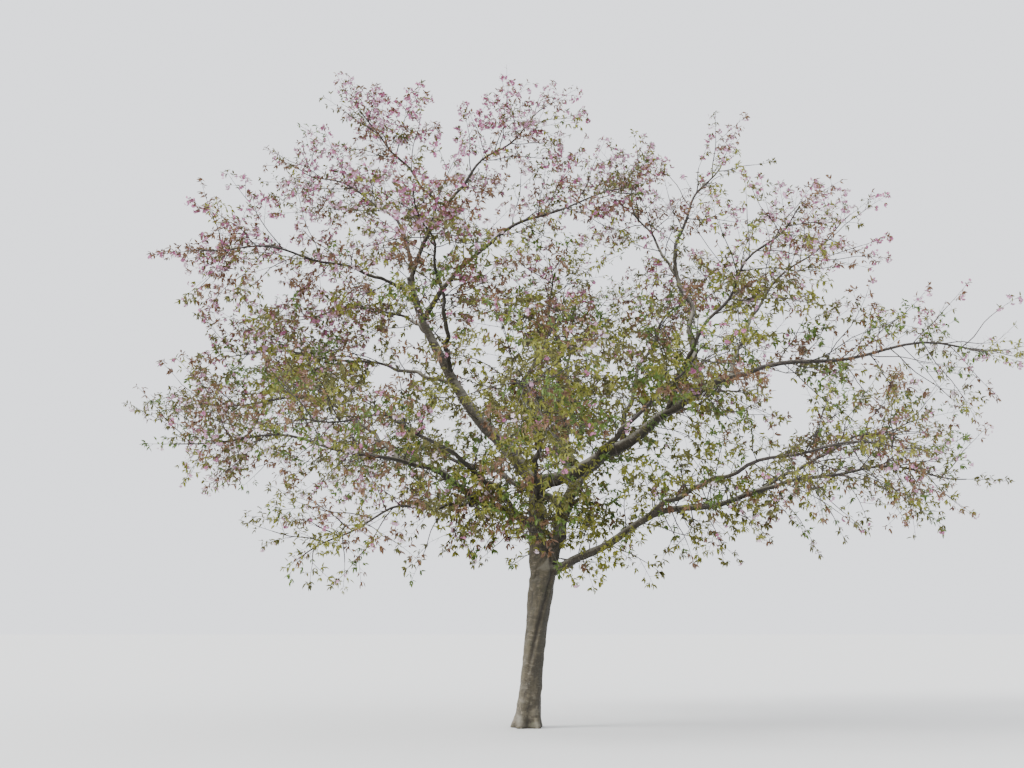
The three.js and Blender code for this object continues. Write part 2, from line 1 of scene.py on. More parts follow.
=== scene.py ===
# A cherry blossom tree in spring, in metres, with +Z up and its origin at the middle of the trunk's foot.
import math
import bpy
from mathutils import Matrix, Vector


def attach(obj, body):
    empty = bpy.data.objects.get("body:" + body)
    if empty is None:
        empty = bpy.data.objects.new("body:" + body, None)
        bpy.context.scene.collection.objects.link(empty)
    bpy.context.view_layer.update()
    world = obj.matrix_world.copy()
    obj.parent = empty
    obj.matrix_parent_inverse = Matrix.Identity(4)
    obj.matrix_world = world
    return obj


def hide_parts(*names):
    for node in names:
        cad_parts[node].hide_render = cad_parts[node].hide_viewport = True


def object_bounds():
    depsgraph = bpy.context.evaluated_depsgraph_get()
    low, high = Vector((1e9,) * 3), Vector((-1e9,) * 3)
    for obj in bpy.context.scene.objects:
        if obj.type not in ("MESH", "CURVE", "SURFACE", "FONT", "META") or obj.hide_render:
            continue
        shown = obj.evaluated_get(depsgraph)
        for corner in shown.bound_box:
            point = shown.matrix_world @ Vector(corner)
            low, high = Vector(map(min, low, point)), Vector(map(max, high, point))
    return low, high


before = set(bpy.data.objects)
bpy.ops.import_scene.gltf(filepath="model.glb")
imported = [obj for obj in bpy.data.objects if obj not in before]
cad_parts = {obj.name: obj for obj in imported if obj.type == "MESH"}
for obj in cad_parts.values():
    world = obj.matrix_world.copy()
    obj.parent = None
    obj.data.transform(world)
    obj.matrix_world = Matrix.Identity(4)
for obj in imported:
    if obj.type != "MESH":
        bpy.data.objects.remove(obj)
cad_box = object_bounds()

from types import SimpleNamespace

import bmesh
import bpy
import numpy as np
from mathutils import Vector, noise

UP = np.array([0.0, 0.0, 1.0])
WHOLE_TURN = 2 * math.pi
GOLDEN_TURN = 137.5
CLEARANCE = 0.0003

# The trunk, by its girth, its lean, the flare of its roots and its swelling at the fork.
TRUNK = SimpleNamespace(
    height=2.3, lean_at_top=0.26, lean_bend=0.38, waist_radius=0.144, flare=0.06, flare_height=0.24,
    root_lobes=5, root_depth=0.18, root_turn=0.6, fork_swell=0.034, swelling=(0.55, 0.85),
    rounded_over=(0.9, 1), rounding=0.55,
)

# How every bough is made: its taper, the collar it stands on, its knees and its slight waves.
BOUGH = SimpleNamespace(
    taper=0.85, collar=0.3, collar_length=1.6, knee_width=0.13, waves=(1.6, 3.7), joints=16,
)

# How every mass of foliage grows: twigs on its stem, leaf sprays on the twigs and on the stem, and a bunch
# of blossom hanging under every second twig.
GROWTH = SimpleNamespace(
    stem_joints=8, stem_end=0.011, stem_pitch_droop=80,
    twigs_per_metre=1.3, twigs_from_to=(0.06, 0.92), twig_jitter=0.8, twig_turn=60,
    twig_splay=(42, 70), twig_lift=0.1, twig_reach=(0.9, 1), twig_radii=(0.011, 0.008),
    twig_checks=(0.2, 0.35, 0.5, 0.65, 0.8, 0.9, 1), shortest_twig=0.22,
    stem_sprays=(0.3, 0.66, 1), twig_sprays=(0.42, 1), spray_length=(0.64, 0.9),
    spray_droop=(-0.35, 0.15), spray_roll=(-1.3, 1.3), spray_splay=(0.9, 1.5), spray_gap=0.09,
    end_sway=0.08,
    blossom_every=2, blossom_share=0.7, blossom_radius=(0.085, 0.115), blossom_hang=0.8,
    tries=8, shorter_each_try=0.06, edge=0.04, limb_gap=0.06, twig_gap=0.03,
)
SPRAY_OUTLINE = np.array([
    (0, 0), (0.44, -0.28), (0.54, -0.08), (0.84, -0.22), (0.8, -0.06),
    (1, 0), (0.66, 0.07), (0.66, 0.27), (0.42, 0.07), (0.26, 0.25),
])
SPRAY_MIDDLE = 0.42

# Where each limb's and each mass's random draws begin, and the steps from one twig or spray to the next.
SEED = SimpleNamespace(
    limb=101, first_limb=7, mass=1000, twig=17, twig_own=500, twig_own_step=10, spray=29, stem_sprays=5,
    blossom=3, finer=7000, shoots=77, colours=11, leaves=21, flowers=31, scars=5,
)


def limb_row(name, on, at, run, pitches, radii, crook=0.02, knees=(), swing=0, mass=None):
    """One limb, which starts on another at a share of its length. Its run is its heading in degrees from
    +X towards +Y, and how far away and how much higher its end is. It sets off at one pitch, comes to its
    end at another, and narrows from one radius to another. A knee lifts it at a share of its length. The
    mass at its tip has a heading, a pitch, its space's length, width and height, and its stem's droop."""
    if mass:
        mass = SimpleNamespace(**dict(zip(("heading", "pitch", "length", "width", "height", "droop"), mass)))
    return SimpleNamespace(
        name=name, on=on, at=at, run=run, pitches=pitches, radii=radii, crook=crook, knees=knees,
        swing=swing, mass=mass,
    )


LIMBS = [
    limb_row("stem_left", "trunk", 0.85, (193, 0.08, 1.37), (77, 90), (0.13, 0.104), crook=0.01),
    limb_row("stem_right", "trunk", 0.81, (31, 0.62, 1.49), (66, 56), (0.112, 0.078)),
    limb_row("bough_right", "stem_left", 0.98, (-16, 2.9, 1.39), (6, 8), (0.1, 0.036), crook=0.012,
             knees=[(0.45, -0.08)], mass=(3, 7, 4.3, 2.5, 2.3, 0.02)),
    limb_row("bough_left_high", "stem_left", 0.98, (161, 1.96, 3.11), (44, 76), (0.1, 0.046), crook=0.008,
             knees=[(0.14, 0.1)]),
    limb_row("bough_top", "bough_left_high", 0.98, (0, 0.65, 1.35), (78, 52), (0.036, 0.024), crook=0.01,
             mass=(3, 46, 2.6, 2.3, 1.9, 0)),
    limb_row("bough_top_left", "bough_left_high", 0.95, (128, 0.31, 0.98), (96, 58), (0.034, 0.024),
             mass=(158, 33, 2.8, 2.3, 1.9, 0)),
    limb_row("bough_top_middle", "bough_top", 0.85, (227, 0.55, 0.2), (8, 36), (0.024, 0.02),
             mass=(218, 40, 2, 2.1, 1.9, 0)),
    limb_row("bough_over_middle", "bough_left_high", 0.8, (-27, 1.11, 1.05), (64, 28), (0.042, 0.027),
             crook=0.012, mass=(-12, 20, 2.65, 2.4, 2, 0)),
    limb_row("bough_left_upper", "bough_left_high", 0.93, (219, 0.87, 0.16), (14, 6), (0.03, 0.022),
             mass=(206, 3, 3, 2.7, 2.4, 0.03)),
    limb_row("bough_left_mid", "bough_left_high", 0.5, (137, 1.32, 0.43), (30, 12), (0.036, 0.024),
             mass=(166, 9, 3.6, 2.5, 2.3, 0.04)),
    limb_row("bough_left_low", "stem_left", 0.55, (207, 2.21, 0.84), (22, 3), (0.062, 0.028), crook=0.012,
             knees=[(0.47, -0.12)], mass=(188, 12, 3.5, 2.4, 2, 0.16)),
    limb_row("bough_left_under", "bough_left_low", 0.4, (227, 1.09, -0.14), (-8, 0), (0.03, 0.02),
             mass=(222, -12, 2.5, 3, 1.7, 0.16)),
    limb_row("bough_left_outer", "bough_left_low", 0.94, (137, 0.88, 0.6), (44, 26), (0.027, 0.021),
             mass=(163, 10, 3.4, 2.3, 1.8, 0.07)),
    limb_row("bough_low_right", "trunk", 0.86, (-16, 3.2, 1.2), (32, 12), (0.062, 0.03), crook=0.008,
             knees=[(0.52, 0.1), (0.75, -0.06)], mass=(-5, 5, 3.1, 2.4, 1.9, 0.06)),
    limb_row("bough_low_right_up", "bough_low_right", 0.94, (26, 1.1, 0.53), (30, 26), (0.027, 0.021),
             mass=(22, 20, 2.4, 2.1, 1.8, 0.02)),
    limb_row("bough_right_up", "bough_right", 0.8, (101, 0.92, 2.2), (66, 84), (0.046, 0.026), crook=0.03,
             swing=-30, mass=(10, 62, 2.35, 2.2, 2, 0)),
    limb_row("bough_right_up_left", "bough_right_up", 0.86, (120, 0.42, 0.5), (44, 52), (0.025, 0.02),
             mass=(125, 58, 2.4, 2.1, 2, 0)),
    limb_row("bough_right_up_right", "bough_right", 0.94, (62, 1.07, 1.07), (54, 42), (0.034, 0.024),
             mass=(26, 43, 3.2, 2.4, 2, 0)),
    limb_row("bough_centre", "bough_right", 0.28, (-60, 0.85, 0.42), (36, 22), (0.045, 0.027),
             mass=(-66, 20, 2.7, 2.7, 2, 0)),
    limb_row("bough_front", "stem_left", 0.75, (270, 1.27, 0.85), (44, 26), (0.046, 0.028),
             mass=(264, 9, 3.4, 2.9, 2.4, 0.08)),
    limb_row("bough_front_left", "bough_left_low", 0.1, (234, 1.7, 0.82), (34, 18), (0.04, 0.026),
             mass=(230, 7, 3.1, 2.7, 2.2, 0.08)),
    limb_row("bough_front_right", "bough_low_right", 0.48, (-46, 1.5, 0.5), (36, 12), (0.038, 0.026),
             mass=(-42, 6, 3.1, 2.8, 2.1, 0.06)),
    limb_row("bough_front_high", "bough_left_high", 0.56, (268, 1.15, 0.72), (46, 30), (0.04, 0.026),
             mass=(262, 28, 2.9, 2.9, 2.1, 0)),
    limb_row("bough_front_right_high", "bough_right", 0.64, (-62, 0.85, 1), (58, 42), (0.036, 0.024),
             mass=(-56, 34, 2.8, 2.7, 2, 0)),
    limb_row("bough_centre_high", "stem_right", 0.98, (201, 0.26, 1.23), (76, 84), (0.045, 0.026),
             crook=0.03, mass=(250, 76, 2.6, 2.9, 2.5, 0)),
    limb_row("bough_back_right", "stem_right", 0.98, (44, 1.75, 1.04), (34, 26), (0.058, 0.03),
             mass=(44, 20, 3.2, 2.7, 2.2, 0.03)),
    limb_row("bough_back", "stem_right", 0.9, (98, 1.58, 1.1), (44, 28), (0.054, 0.03),
             mass=(94, 18, 3.4, 2.8, 2.2, 0.03)),
    limb_row("bough_back_left", "stem_right", 0.72, (140, 1.95, 0.78), (36, 14), (0.05, 0.028),
             mass=(138, 8, 3.3, 2.7, 2.2, 0.06)),
    limb_row("bough_back_high_right", "bough_back_right", 0.5, (62, 0.9, 1.5), (62, 46), (0.038, 0.025),
             mass=(50, 44, 3, 2.6, 2, 0)),
    limb_row("bough_back_high_left", "bough_left_high", 0.7, (116, 0.9, 0.5), (40, 22), (0.036, 0.025),
             mass=(150, 8, 3, 2.5, 2.1, 0.03)),
    limb_row("bough_back_high", "bough_back", 0.45, (84, 0.65, 1.45), (66, 50), (0.036, 0.024),
             mass=(84, 42, 2.6, 2.6, 2, 0)),
]


def between(span, share):
    return span[0] + (span[1] - span[0]) * share


def part_way(span, value):
    """How far along a span a value lies: 0 at its one end and 1 at the other."""
    return (value - span[0]) / (span[1] - span[0])


def smooth(share):
    s = np.clip(share, 0, 1)
    return s * s * (3 - 2 * s)


def unit(v):
    return v / np.linalg.norm(v)


def units(v):
    return v / np.maximum(np.linalg.norm(v, axis=-1, keepdims=True), 1e-9)


def level_side(way):
    return unit(np.cross(way, UP))


def level_sides(ways):
    """For each way, a level direction square to it."""
    sides = np.cross(ways, UP)
    sides[np.linalg.norm(sides, axis=1) < 1e-3] = (1, 0, 0)
    return units(sides)


def seeded(seed):
    """A repeatable stream of numbers from 0 to 1, the same as in the part's own source."""
    state = seed
    word = 0xFFFFFFFF

    def draw():
        nonlocal state
        state = (state + 0x6D2B79F5) & word
        mixed = ((state ^ (state >> 15)) * (state | 1)) & word
        mixed ^= (mixed + (((mixed ^ (mixed >> 7)) * (mixed | 61)) & word)) & word
        return (mixed ^ (mixed >> 14)) / (word + 1)

    return draw


def direction(heading, pitch):
    turn, climb = math.radians(heading), math.radians(pitch)
    level = math.cos(climb)
    return np.array([level * math.cos(turn), level * math.sin(turn), math.sin(climb)])


def turned(v, axis, angle):
    """v turned about a unit axis."""
    return (
        v * math.cos(angle)
        + np.cross(axis, v) * math.sin(angle)
        + axis * np.dot(axis, v) * (1 - math.cos(angle))
    )


def turned_all(v, axis, angle):
    """Rows of v turned about rows of unit axes."""
    cos, sin = np.cos(angle)[:, None], np.sin(angle)[:, None]
    along = np.einsum("ij,ij->i", axis, v)[:, None]
    return v * cos + np.cross(axis, v) * sin + axis * along * (1 - cos)


def hermite(start, end, leaving, arriving, t):
    t2, t3 = t * t, t * t * t
    return (
        start * (2 * t3 - 3 * t2 + 1)
        + leaving * (t3 - 2 * t2 + t)
        + end * (3 * t2 - 2 * t3)
        + arriving * (t3 - t2)
    )


def tangent_of(point, t, step=0.004):
    return unit(point(min(1, t + step)) - point(max(0, t - step)))


def trunk_limb():
    def point(t):
        lean = TRUNK.lean_at_top * ((1 - TRUNK.lean_bend) * t + TRUNK.lean_bend * t * t)
        return np.array([lean, 0.0, TRUNK.height * t])

    def radius(t, angle=0.0):
        foot = math.exp(-TRUNK.height * t / TRUNK.flare_height)
        lobes = 1 + TRUNK.root_depth * foot * math.cos(TRUNK.root_lobes * angle + TRUNK.root_turn)
        swell = TRUNK.fork_swell * smooth(part_way(TRUNK.swelling, t))
        rounded = 1 - TRUNK.rounding * smooth(part_way(TRUNK.rounded_over, t))
        return (TRUNK.waist_radius + TRUNK.flare * foot + swell) * lobes * rounded

    return SimpleNamespace(name="trunk", mass=None, point=point, radius=radius, length=TRUNK.height, index=0)


def bough_limb(row, index, limbs):
    """A limb from its row: its axis, with its slight waves and its knees, and its radius along it."""
    heading, reach, rise = row.run
    thick, thin = row.radii
    start = limbs[row.on].point(row.at)
    end = start + direction(heading, 0) * reach + UP * rise
    length = float(np.linalg.norm(end - start))
    leaving = direction(heading + row.swing, row.pitches[0]) * length
    arriving = direction(heading - row.swing / 2, row.pitches[1]) * length
    side = direction(heading + 90, 0)
    draw = seeded(index * SEED.limb + SEED.first_limb)
    phases = [draw() for _ in range(4)]
    long, short = BOUGH.waves

    def wave(t, a, b):
        return math.sin(WHOLE_TURN * (long * t + a)) + math.sin(WHOLE_TURN * (short * t + b)) / 2

    def point(t):
        place = hermite(start, end, leaving, arriving, t)
        ease = math.sin(math.pi * t) * row.crook * length
        place = place + side * (ease * wave(t, phases[0], phases[1]))
        place = place + UP * (ease * wave(t, phases[2], phases[3]))
        for share, lift in row.knees:
            near = math.exp(-(((t - share) / BOUGH.knee_width) ** 2)) * math.sin(math.pi * t)
            place = place + UP * (lift * near)
        return place

    def radius(t, angle=0.0):
        collar = 1 + BOUGH.collar * math.exp(-(t * length) / (BOUGH.collar_length * thick))
        return (thin + (thick - thin) * (1 - t) ** BOUGH.taper) * collar

    return SimpleNamespace(
        name=row.name, mass=row.mass, point=point, radius=radius, length=length, index=index,
    )


def space_of(limb):
    """The egg-shaped space of a mass: it begins at its bough's tip and runs on along its own heading."""
    mass = limb.mass
    ahead = direction(mass.heading, mass.pitch)
    side = direction(mass.heading + 90, 0)
    top = np.cross(ahead, side)
    halves = np.array([mass.length, mass.width, mass.height]) / 2
    centre = limb.point(1) + ahead * halves[0]
    into = np.stack([ahead, side, top]).T / halves
    return SimpleNamespace(ahead=ahead, side=side, centre=centre, into=into)


def depth_in(space, places):
    """How deep in a space places are: 0 at its middle and 1 on its skin."""
    return np.linalg.norm((places - space.centre) @ space.into, axis=-1)


def reach_in(space, place, way):
    """How far a ray from a place inside goes before it meets the skin of the space."""
    o, d = (place - space.centre) @ space.into, way @ space.into
    a, b, c = d @ d, o @ d, o @ o - 1
    return 0.0 if c > 0 else (-b + math.sqrt(b * b - a * c)) / a


def stem_limb(limb, space):
    """The stem of a mass goes on from its bough's tip."""
    mass = limb.mass
    way = tangent_of(limb.point, 1)
    start = limb.point(1) + way * CLEARANCE
    run = mass.length - GROWTH.spray_length[0]
    end = start + space.ahead * run - UP * (mass.droop * run)
    arriving = direction(mass.heading, mass.pitch - GROWTH.stem_pitch_droop * mass.droop)
    thick = limb.radius(1)
    return SimpleNamespace(
        name=limb.name.replace("bough", "mass"),
        point=lambda t: hermite(start, end, way * run, arriving * run, t),
        radius=lambda t: GROWTH.stem_end + (thick - GROWTH.stem_end) * (1 - t),
        length=run,
    )


def straight_twig(start, way, length, seed=0, share=0.0):
    return SimpleNamespace(
        point=lambda t: start + way * (length * t),
        radius=lambda t: between(GROWTH.twig_radii, t),
        length=length, seed=seed, share=share, start=start, way=way,
    )


def new_spray(root, way, roll, length, share=1, bare=False):
    """A spray, at a share of its twig's length. A bare one has leaves at its tip alone."""
    return SimpleNamespace(root=root, way=way, roll=roll, length=length, share=share, bare=bare)


def joints_of(limb, count):
    """A limb's axis as short straight pieces: their starts, their runs and the limb's radius there."""
    places = np.array([limb.point(i / count) for i in range(count + 1)])
    radii = np.array([limb.radius(i / count) for i in range(count)])
    return SimpleNamespace(starts=places[:-1], runs=places[1:] - places[:-1], radii=radii)


def all_joints(chains):
    names = ("starts", "runs", "radii")
    return SimpleNamespace(**{
        name: np.concatenate([getattr(chain, name) for chain in chains]) for name in names
    })


def gaps_to(joints, places, at_a_time=400):
    """The gap between each place and the nearest limb's surface."""
    gaps = []
    for part in np.array_split(places, max(1, len(places) // at_a_time)):
        apart = part[:, None, :] - joints.starts
        share = np.einsum("ijk,jk->ij", apart, joints.runs) / np.einsum("jk,jk->j", joints.runs, joints.runs)
        apart = apart - np.clip(share, 0, 1)[..., None] * joints.runs
        gaps.append((np.sqrt(np.einsum("ijk,ijk->ij", apart, apart)) - joints.radii).min(axis=1))
    return np.concatenate(gaps)


def free_for(own, spaces, joints):
    """True where all places are inside their own mass's space, nearer its middle than any other's, and off
    the limbs."""

    def free(places):
        depths = depth_in(own, places)
        if (depths > 1).any():
            return False
        for other in spaces:
            if other is not own and (depth_in(other, places) < depths + GROWTH.edge).any():
                return False
        return bool((gaps_to(joints, places) > GROWTH.limb_gap).all())

    return free


def twigs_on(stem, space, seed, free, per_metre, tip_room):
    """The twigs of a mass stand round its stem by the golden turn. One that isn't free is shortened or
    turned."""
    count = round(per_metre * stem.length)
    made = []
    for k in range(count):
        draw = seeded(seed + k * SEED.twig)
        share = between(GROWTH.twigs_from_to, (k + GROWTH.twig_jitter * draw()) / count)
        start = stem.point(share)
        ahead = tangent_of(stem.point, share)
        side = unit(space.side - ahead * (space.side @ ahead))
        top = np.cross(ahead, side)
        for attempt in range(GROWTH.tries):
            sway = GROWTH.twig_turn * (draw() - 0.5) * (1 + attempt)
            turn = math.radians(k * GOLDEN_TURN + sway)
            splay = math.radians(between(GROWTH.twig_splay, draw()))
            way = ahead * math.cos(splay) + UP * GROWTH.twig_lift
            way = way + side * (math.sin(splay) * math.cos(turn))
            way = unit(way + top * (math.sin(splay) * math.sin(turn)))
            full = reach_in(space, start, way) * between(GROWTH.twig_reach, draw()) - tip_room
            length = max(full * (1 - GROWTH.shorter_each_try * attempt), GROWTH.shortest_twig)
            checks = np.array([start + way * (length * t) for t in GROWTH.twig_checks])
            if free(checks):
                own_seed = seed + SEED.twig_own + k * SEED.twig_own_step
                made.append(straight_twig(start, way, length, own_seed, share))
                break
    return made


def spray_places(root, way, roll, length):
    """The corners of a spray's outline, and the places half-way from them to its middle."""
    across = turned(level_side(way), way, roll)
    outer = SPRAY_OUTLINE[1:]
    inner = np.column_stack([(outer[:, 0] + SPRAY_MIDDLE) / 2, outer[:, 1] / 2])
    shares = np.concatenate([outer, inner]) * length
    return root + shares[:, :1] * way + shares[:, 1:] * across


def sprays_on(twig, shares, seed, free, placed):
    """The sprays along a twig: one carries on from its end, and the others stand out to either side."""
    made = []
    for k, share in enumerate(shares):
        draw = seeded(seed + k * SEED.spray)
        ahead = tangent_of(twig.point, share)
        aside = level_side(ahead)
        root = twig.point(share) - ahead * (0 if share < 1 else GROWTH.twig_radii[1])
        for attempt in range(GROWTH.tries):
            way = ahead + UP * between(GROWTH.spray_droop, draw())
            out = between(GROWTH.spray_splay, draw()) * (1 if (seed + k + attempt) % 2 else -1)
            way = unit(way + aside * (out if share < 1 else GROWTH.end_sway * attempt * out))
            length = between(GROWTH.spray_length, draw()) * (1 - GROWTH.shorter_each_try * attempt)
            roll = between(GROWTH.spray_roll, draw())
            places = spray_places(root, way, roll, length)
            clash = len(placed) and (
                np.linalg.norm(places[:, None] - np.array(placed), axis=-1) <= GROWTH.spray_gap
            ).any()
            if free(places) and not clash:
                placed.extend(places)
                made.append(new_spray(root, way, roll, length, share))
                break
    return made


def blossom_bunch(twig, free):
    """Where a bunch of blossom hangs from the underside of a twig, and how large it is."""
    draw = seeded(twig.seed + SEED.blossom)
    radius = between(GROWTH.blossom_radius, draw())
    centre = twig.point(GROWTH.blossom_share) - UP * (radius * GROWTH.blossom_hang)
    ways = np.array([(1, 0, 0), (-1, 0, 0), (0, 1, 0), (0, -1, 0), (0, 0, -1)]) * radius
    return [SimpleNamespace(centre=centre, radius=radius)] if free(centre + ways) else []


def grow_mass(limb, stem, space, free):
    """One mass as the solids have it: its twigs, its sprays and its bunches of blossom."""
    seed = limb.index * SEED.mass
    twigs = twigs_on(stem, space, seed, free, GROWTH.twigs_per_metre, GROWTH.spray_length[0])
    own = all_joints([joints_of(stem, GROWTH.stem_joints)] + [joints_of(twig, 1) for twig in twigs])

    def clear(places):
        return free(places) and bool((gaps_to(own, places) > GROWTH.twig_gap).all())

    placed = []
    sprays = [sprays_on(stem, GROWTH.stem_sprays, seed + SEED.stem_sprays, clear, placed)]
    sprays += [sprays_on(twig, GROWTH.twig_sprays, twig.seed, clear, placed) for twig in twigs]
    bunches = [bunch for twig in twigs[:: GROWTH.blossom_every] for bunch in blossom_bunch(twig, free)]
    return SimpleNamespace(
        limb=limb, stem=stem, space=space, free=free, twigs=twigs, sprays=sprays, bunches=bunches,
    )


# How the scene carries each mass on to finer twigs, which fill in between those of the solids.
FINE = SimpleNamespace(
    stem_rings=16, stem_sides=6, stem_tip=0.0085, stem_from=0.97, stem_base=0.9,
    stem_wander=0.04, wander_ease=0.6, stem_waves=(11, 9), stem_arch=0.042, arch_fade=2,
    twig_rings=7, twig_sides=4, twig_radius=0.0105, twig_tip=0.005, finer=0.8,
    twig_wander=0.035, twig_waves=(4, 5), twigs_per_metre=(6.0, 4.7), low_and_high=(4.8, 7.0), twig_room=0.34,
    end_spray=(0.12, 0.45), end_edge=0.03, jitter=(0.1, 0.9), limb_gap=0.02, box_room=0.04,
)
# The sprays on the twigs: their bent axes, and the twiglets to either side, which end in tufts.
SPRAY = SimpleNamespace(
    every=0.19, length=(0.3, 0.7), first=0.12, splay=(0.5, 1.5), tilt=0.6, rise=(-0.35, 0.45),
    shortest=0.16, edge=0.03, rings=5, sides=3, radius=0.0043, tip=0.002, bend=0.05, sag=0.08,
)
TWIGLET = SimpleNamespace(
    every=0.088, fewest=2, first=0.75, last=0.6, jitter=0.3, spread=(38, 66), stray=0.4, lift=0.16,
    share=0.33, least_full=0.45, more_full=0.55, fullest=0.8, uneven=(0.6, 1.15), shortest=0.05,
    radius=0.0026, second_tuft_from=0.15, second_tuft_at=0.55,
)
# Where the crown is open: by slow noise, more so to the right, and in two windows on the left.
SKY = SimpleNamespace(
    levels=(-0.3, 0.15), levels_over=(0.0, 4.5), scale=0.85, shift=(5, 5, 23), probe=0.3, kept_bare=0.42,
    windows=(((-1.3, -1.9, 4.3), 1.0), ((-2.1, -1.7, 3.35), 0.85)),
)
# A bunch of blossom where the solids have one.
BUNCH = SimpleNamespace(twiglets=5, rise=(-0.5, 0.2), length=(0.35, 0.75))
# The leafy shoots on the boughs themselves. The long ones branch.
SHOOT = SimpleNamespace(
    every=0.062, full_below=3.3, kept_above=(0.5, 0.26), thin_and_thick=(0.035, 0.07),
    along=(0.06, 0.97), length=(0.2, 1.15), skew=1.4, turn=0.4, ahead=(0.1, 0.9), rise=(-0.55, 0.5),
    low_rise=(-0.95, 0.4), sunk=0.6, checks=(0.4, 0.7, 1), lowest=1.95, least_height=2.25,
    branched_from=0.45, branch_room=0.5, twig_share=0.7, end_share=0.4,
)


class Wood:
    """Thin wood, gathered as paths with a radius at each of their rings."""

    def __init__(self):
        self.kinds = {}

    def add(self, sides, path, radii):
        kept = self.kinds.setdefault((sides, len(path)), [])
        kept.append((path[None], np.asarray(radii)[None]))

    def add_twig(self, path, radius):
        self.add(FINE.twig_sides, path, np.linspace(radius, FINE.twig_tip, FINE.twig_rings))

    def meshes(self):
        for (sides, _), kept in self.kinds.items():
            yield tubes(np.concatenate([k[0] for k in kept]), np.concatenate([k[1] for k in kept]), sides)


def repeated(faces, count, corners):
    """The faces of one small form, written for so many forms in a row with so many corners each."""
    step = (np.arange(count) * corners)[:, None, None]
    return (faces[None] + step).reshape(-1, faces.shape[1])


def spokes_round(across, third, sides):
    """So many ways out, evenly round from one direction through another."""
    angle = np.arange(sides) * WHOLE_TURN / sides
    return across[..., None, :] * np.cos(angle)[:, None] + third[..., None, :] * np.sin(angle)[:, None]


def tubes(paths, radii, sides):
    """Closed tubes along paths, each coming to a point at its tip. Gives the corners and the faces."""
    steep = 0.8
    count, rings = paths.shape[:2]
    ahead = units(np.gradient(paths, axis=1))
    whole = units(paths[:, -1] - paths[:, 0])
    aid = np.where(np.abs(whole[:, 2:]) > steep, np.array([[0.0, 1.0, 0.0]]), UP)
    across = units(np.cross(ahead, aid[:, None, :]))
    spokes = spokes_round(across, np.cross(ahead, across), sides)
    skin = (paths[:, :, None, :] + spokes * radii[:, :, None, None]).reshape(count, rings * sides, 3)
    tip = (paths[:, -1] + ahead[:, -1] * radii[:, -1:] * 2)[:, None, :]
    corners = np.concatenate([skin, tip], axis=1)
    here = np.arange(sides)
    after = (here + 1) % sides
    a, b = ((np.arange(rings - 1)[:, None] * sides + side).ravel() for side in (here, after))
    walls = np.stack([a, b, b + sides, a + sides], axis=1)
    last = (rings - 1) * sides
    ends = np.stack([last + here, last + after, np.full(sides, rings * sides)], axis=1)
    base = here[::-1][None, :]
    faces = [repeated(part, count, corners.shape[1]) for part in (walls, ends, base)]
    return corners.reshape(-1, 3), faces


def spikes(starts, ends, radius):
    """Closed three-sided spikes. Gives the corners and the faces."""
    ways = units(ends - starts)
    across = level_sides(ways)
    base = starts[:, None] + radius * spokes_round(across, np.cross(ways, across), 3)
    corners = np.concatenate([base, ends[:, None]], axis=1)
    shape = np.array([(0, 2, 1), (0, 1, 3), (1, 2, 3), (2, 0, 3)])
    return corners.reshape(-1, 3), [repeated(shape, len(starts), corners.shape[1])]


def wander(t, waves, side, top, rng):
    """Slow waves to the side and to the top, each from a random phase."""
    first, second = rng.uniform(0, WHOLE_TURN, 2)
    return np.sin(waves[0] * t + first)[:, None] * side + np.sin(waves[1] * t + second)[:, None] * top


def stem_stray(stem, rng):
    """How far a stem strays from its plain curve, at its rings. It wanders, and one that lies rather level
    arches up a little."""
    t = np.linspace(0, 1, FINE.stem_rings)
    ahead = tangent_of(stem.point, 0.5)
    side = level_side(ahead)
    ease = np.sin(math.pi * t) ** FINE.wander_ease * FINE.stem_wander * stem.length ** 0.5
    waves = wander(t, FINE.stem_waves, side, np.cross(side, ahead), rng)
    level = max(0, 1 - FINE.arch_fade * abs(ahead[2]))
    arch = np.sin(math.pi * t) * FINE.stem_arch * stem.length * level
    return ease[:, None] * waves + arch[:, None] * UP


def twig_path(twig, shift, rng):
    """A twig's own slightly wandering way to its end, from its start that its stem has shifted."""
    t = np.linspace(0, 1, FINE.twig_rings)
    line = twig.start + twig.way * (twig.length * t)[:, None] + shift * (1 - t)[:, None]
    side = level_side(twig.way)
    ease = np.sin(math.pi * t) * FINE.twig_wander * twig.length
    return line + ease[:, None] * wander(t, FINE.twig_waves, side, np.cross(side, twig.way), rng)


def on_path(path, shares):
    """Places and directions at shares of a path."""
    spots = np.clip(np.asarray(shares), 0, 1) * (len(path) - 1)
    low = np.minimum(spots.astype(int), len(path) - 2)
    part = (spots - low)[:, None]
    return path[low] * (1 - part) + path[low + 1] * part, units(path[low + 1] - path[low])


def is_open(place):
    """Whether the crown is left open to the sky here."""
    if any(np.linalg.norm(place - centre) < radius for centre, radius in SKY.windows):
        return True
    level = between(SKY.levels, smooth(part_way(SKY.levels_over, place[0])))
    return noise.noise(Vector(place / SKY.scale + SKY.shift)) < level


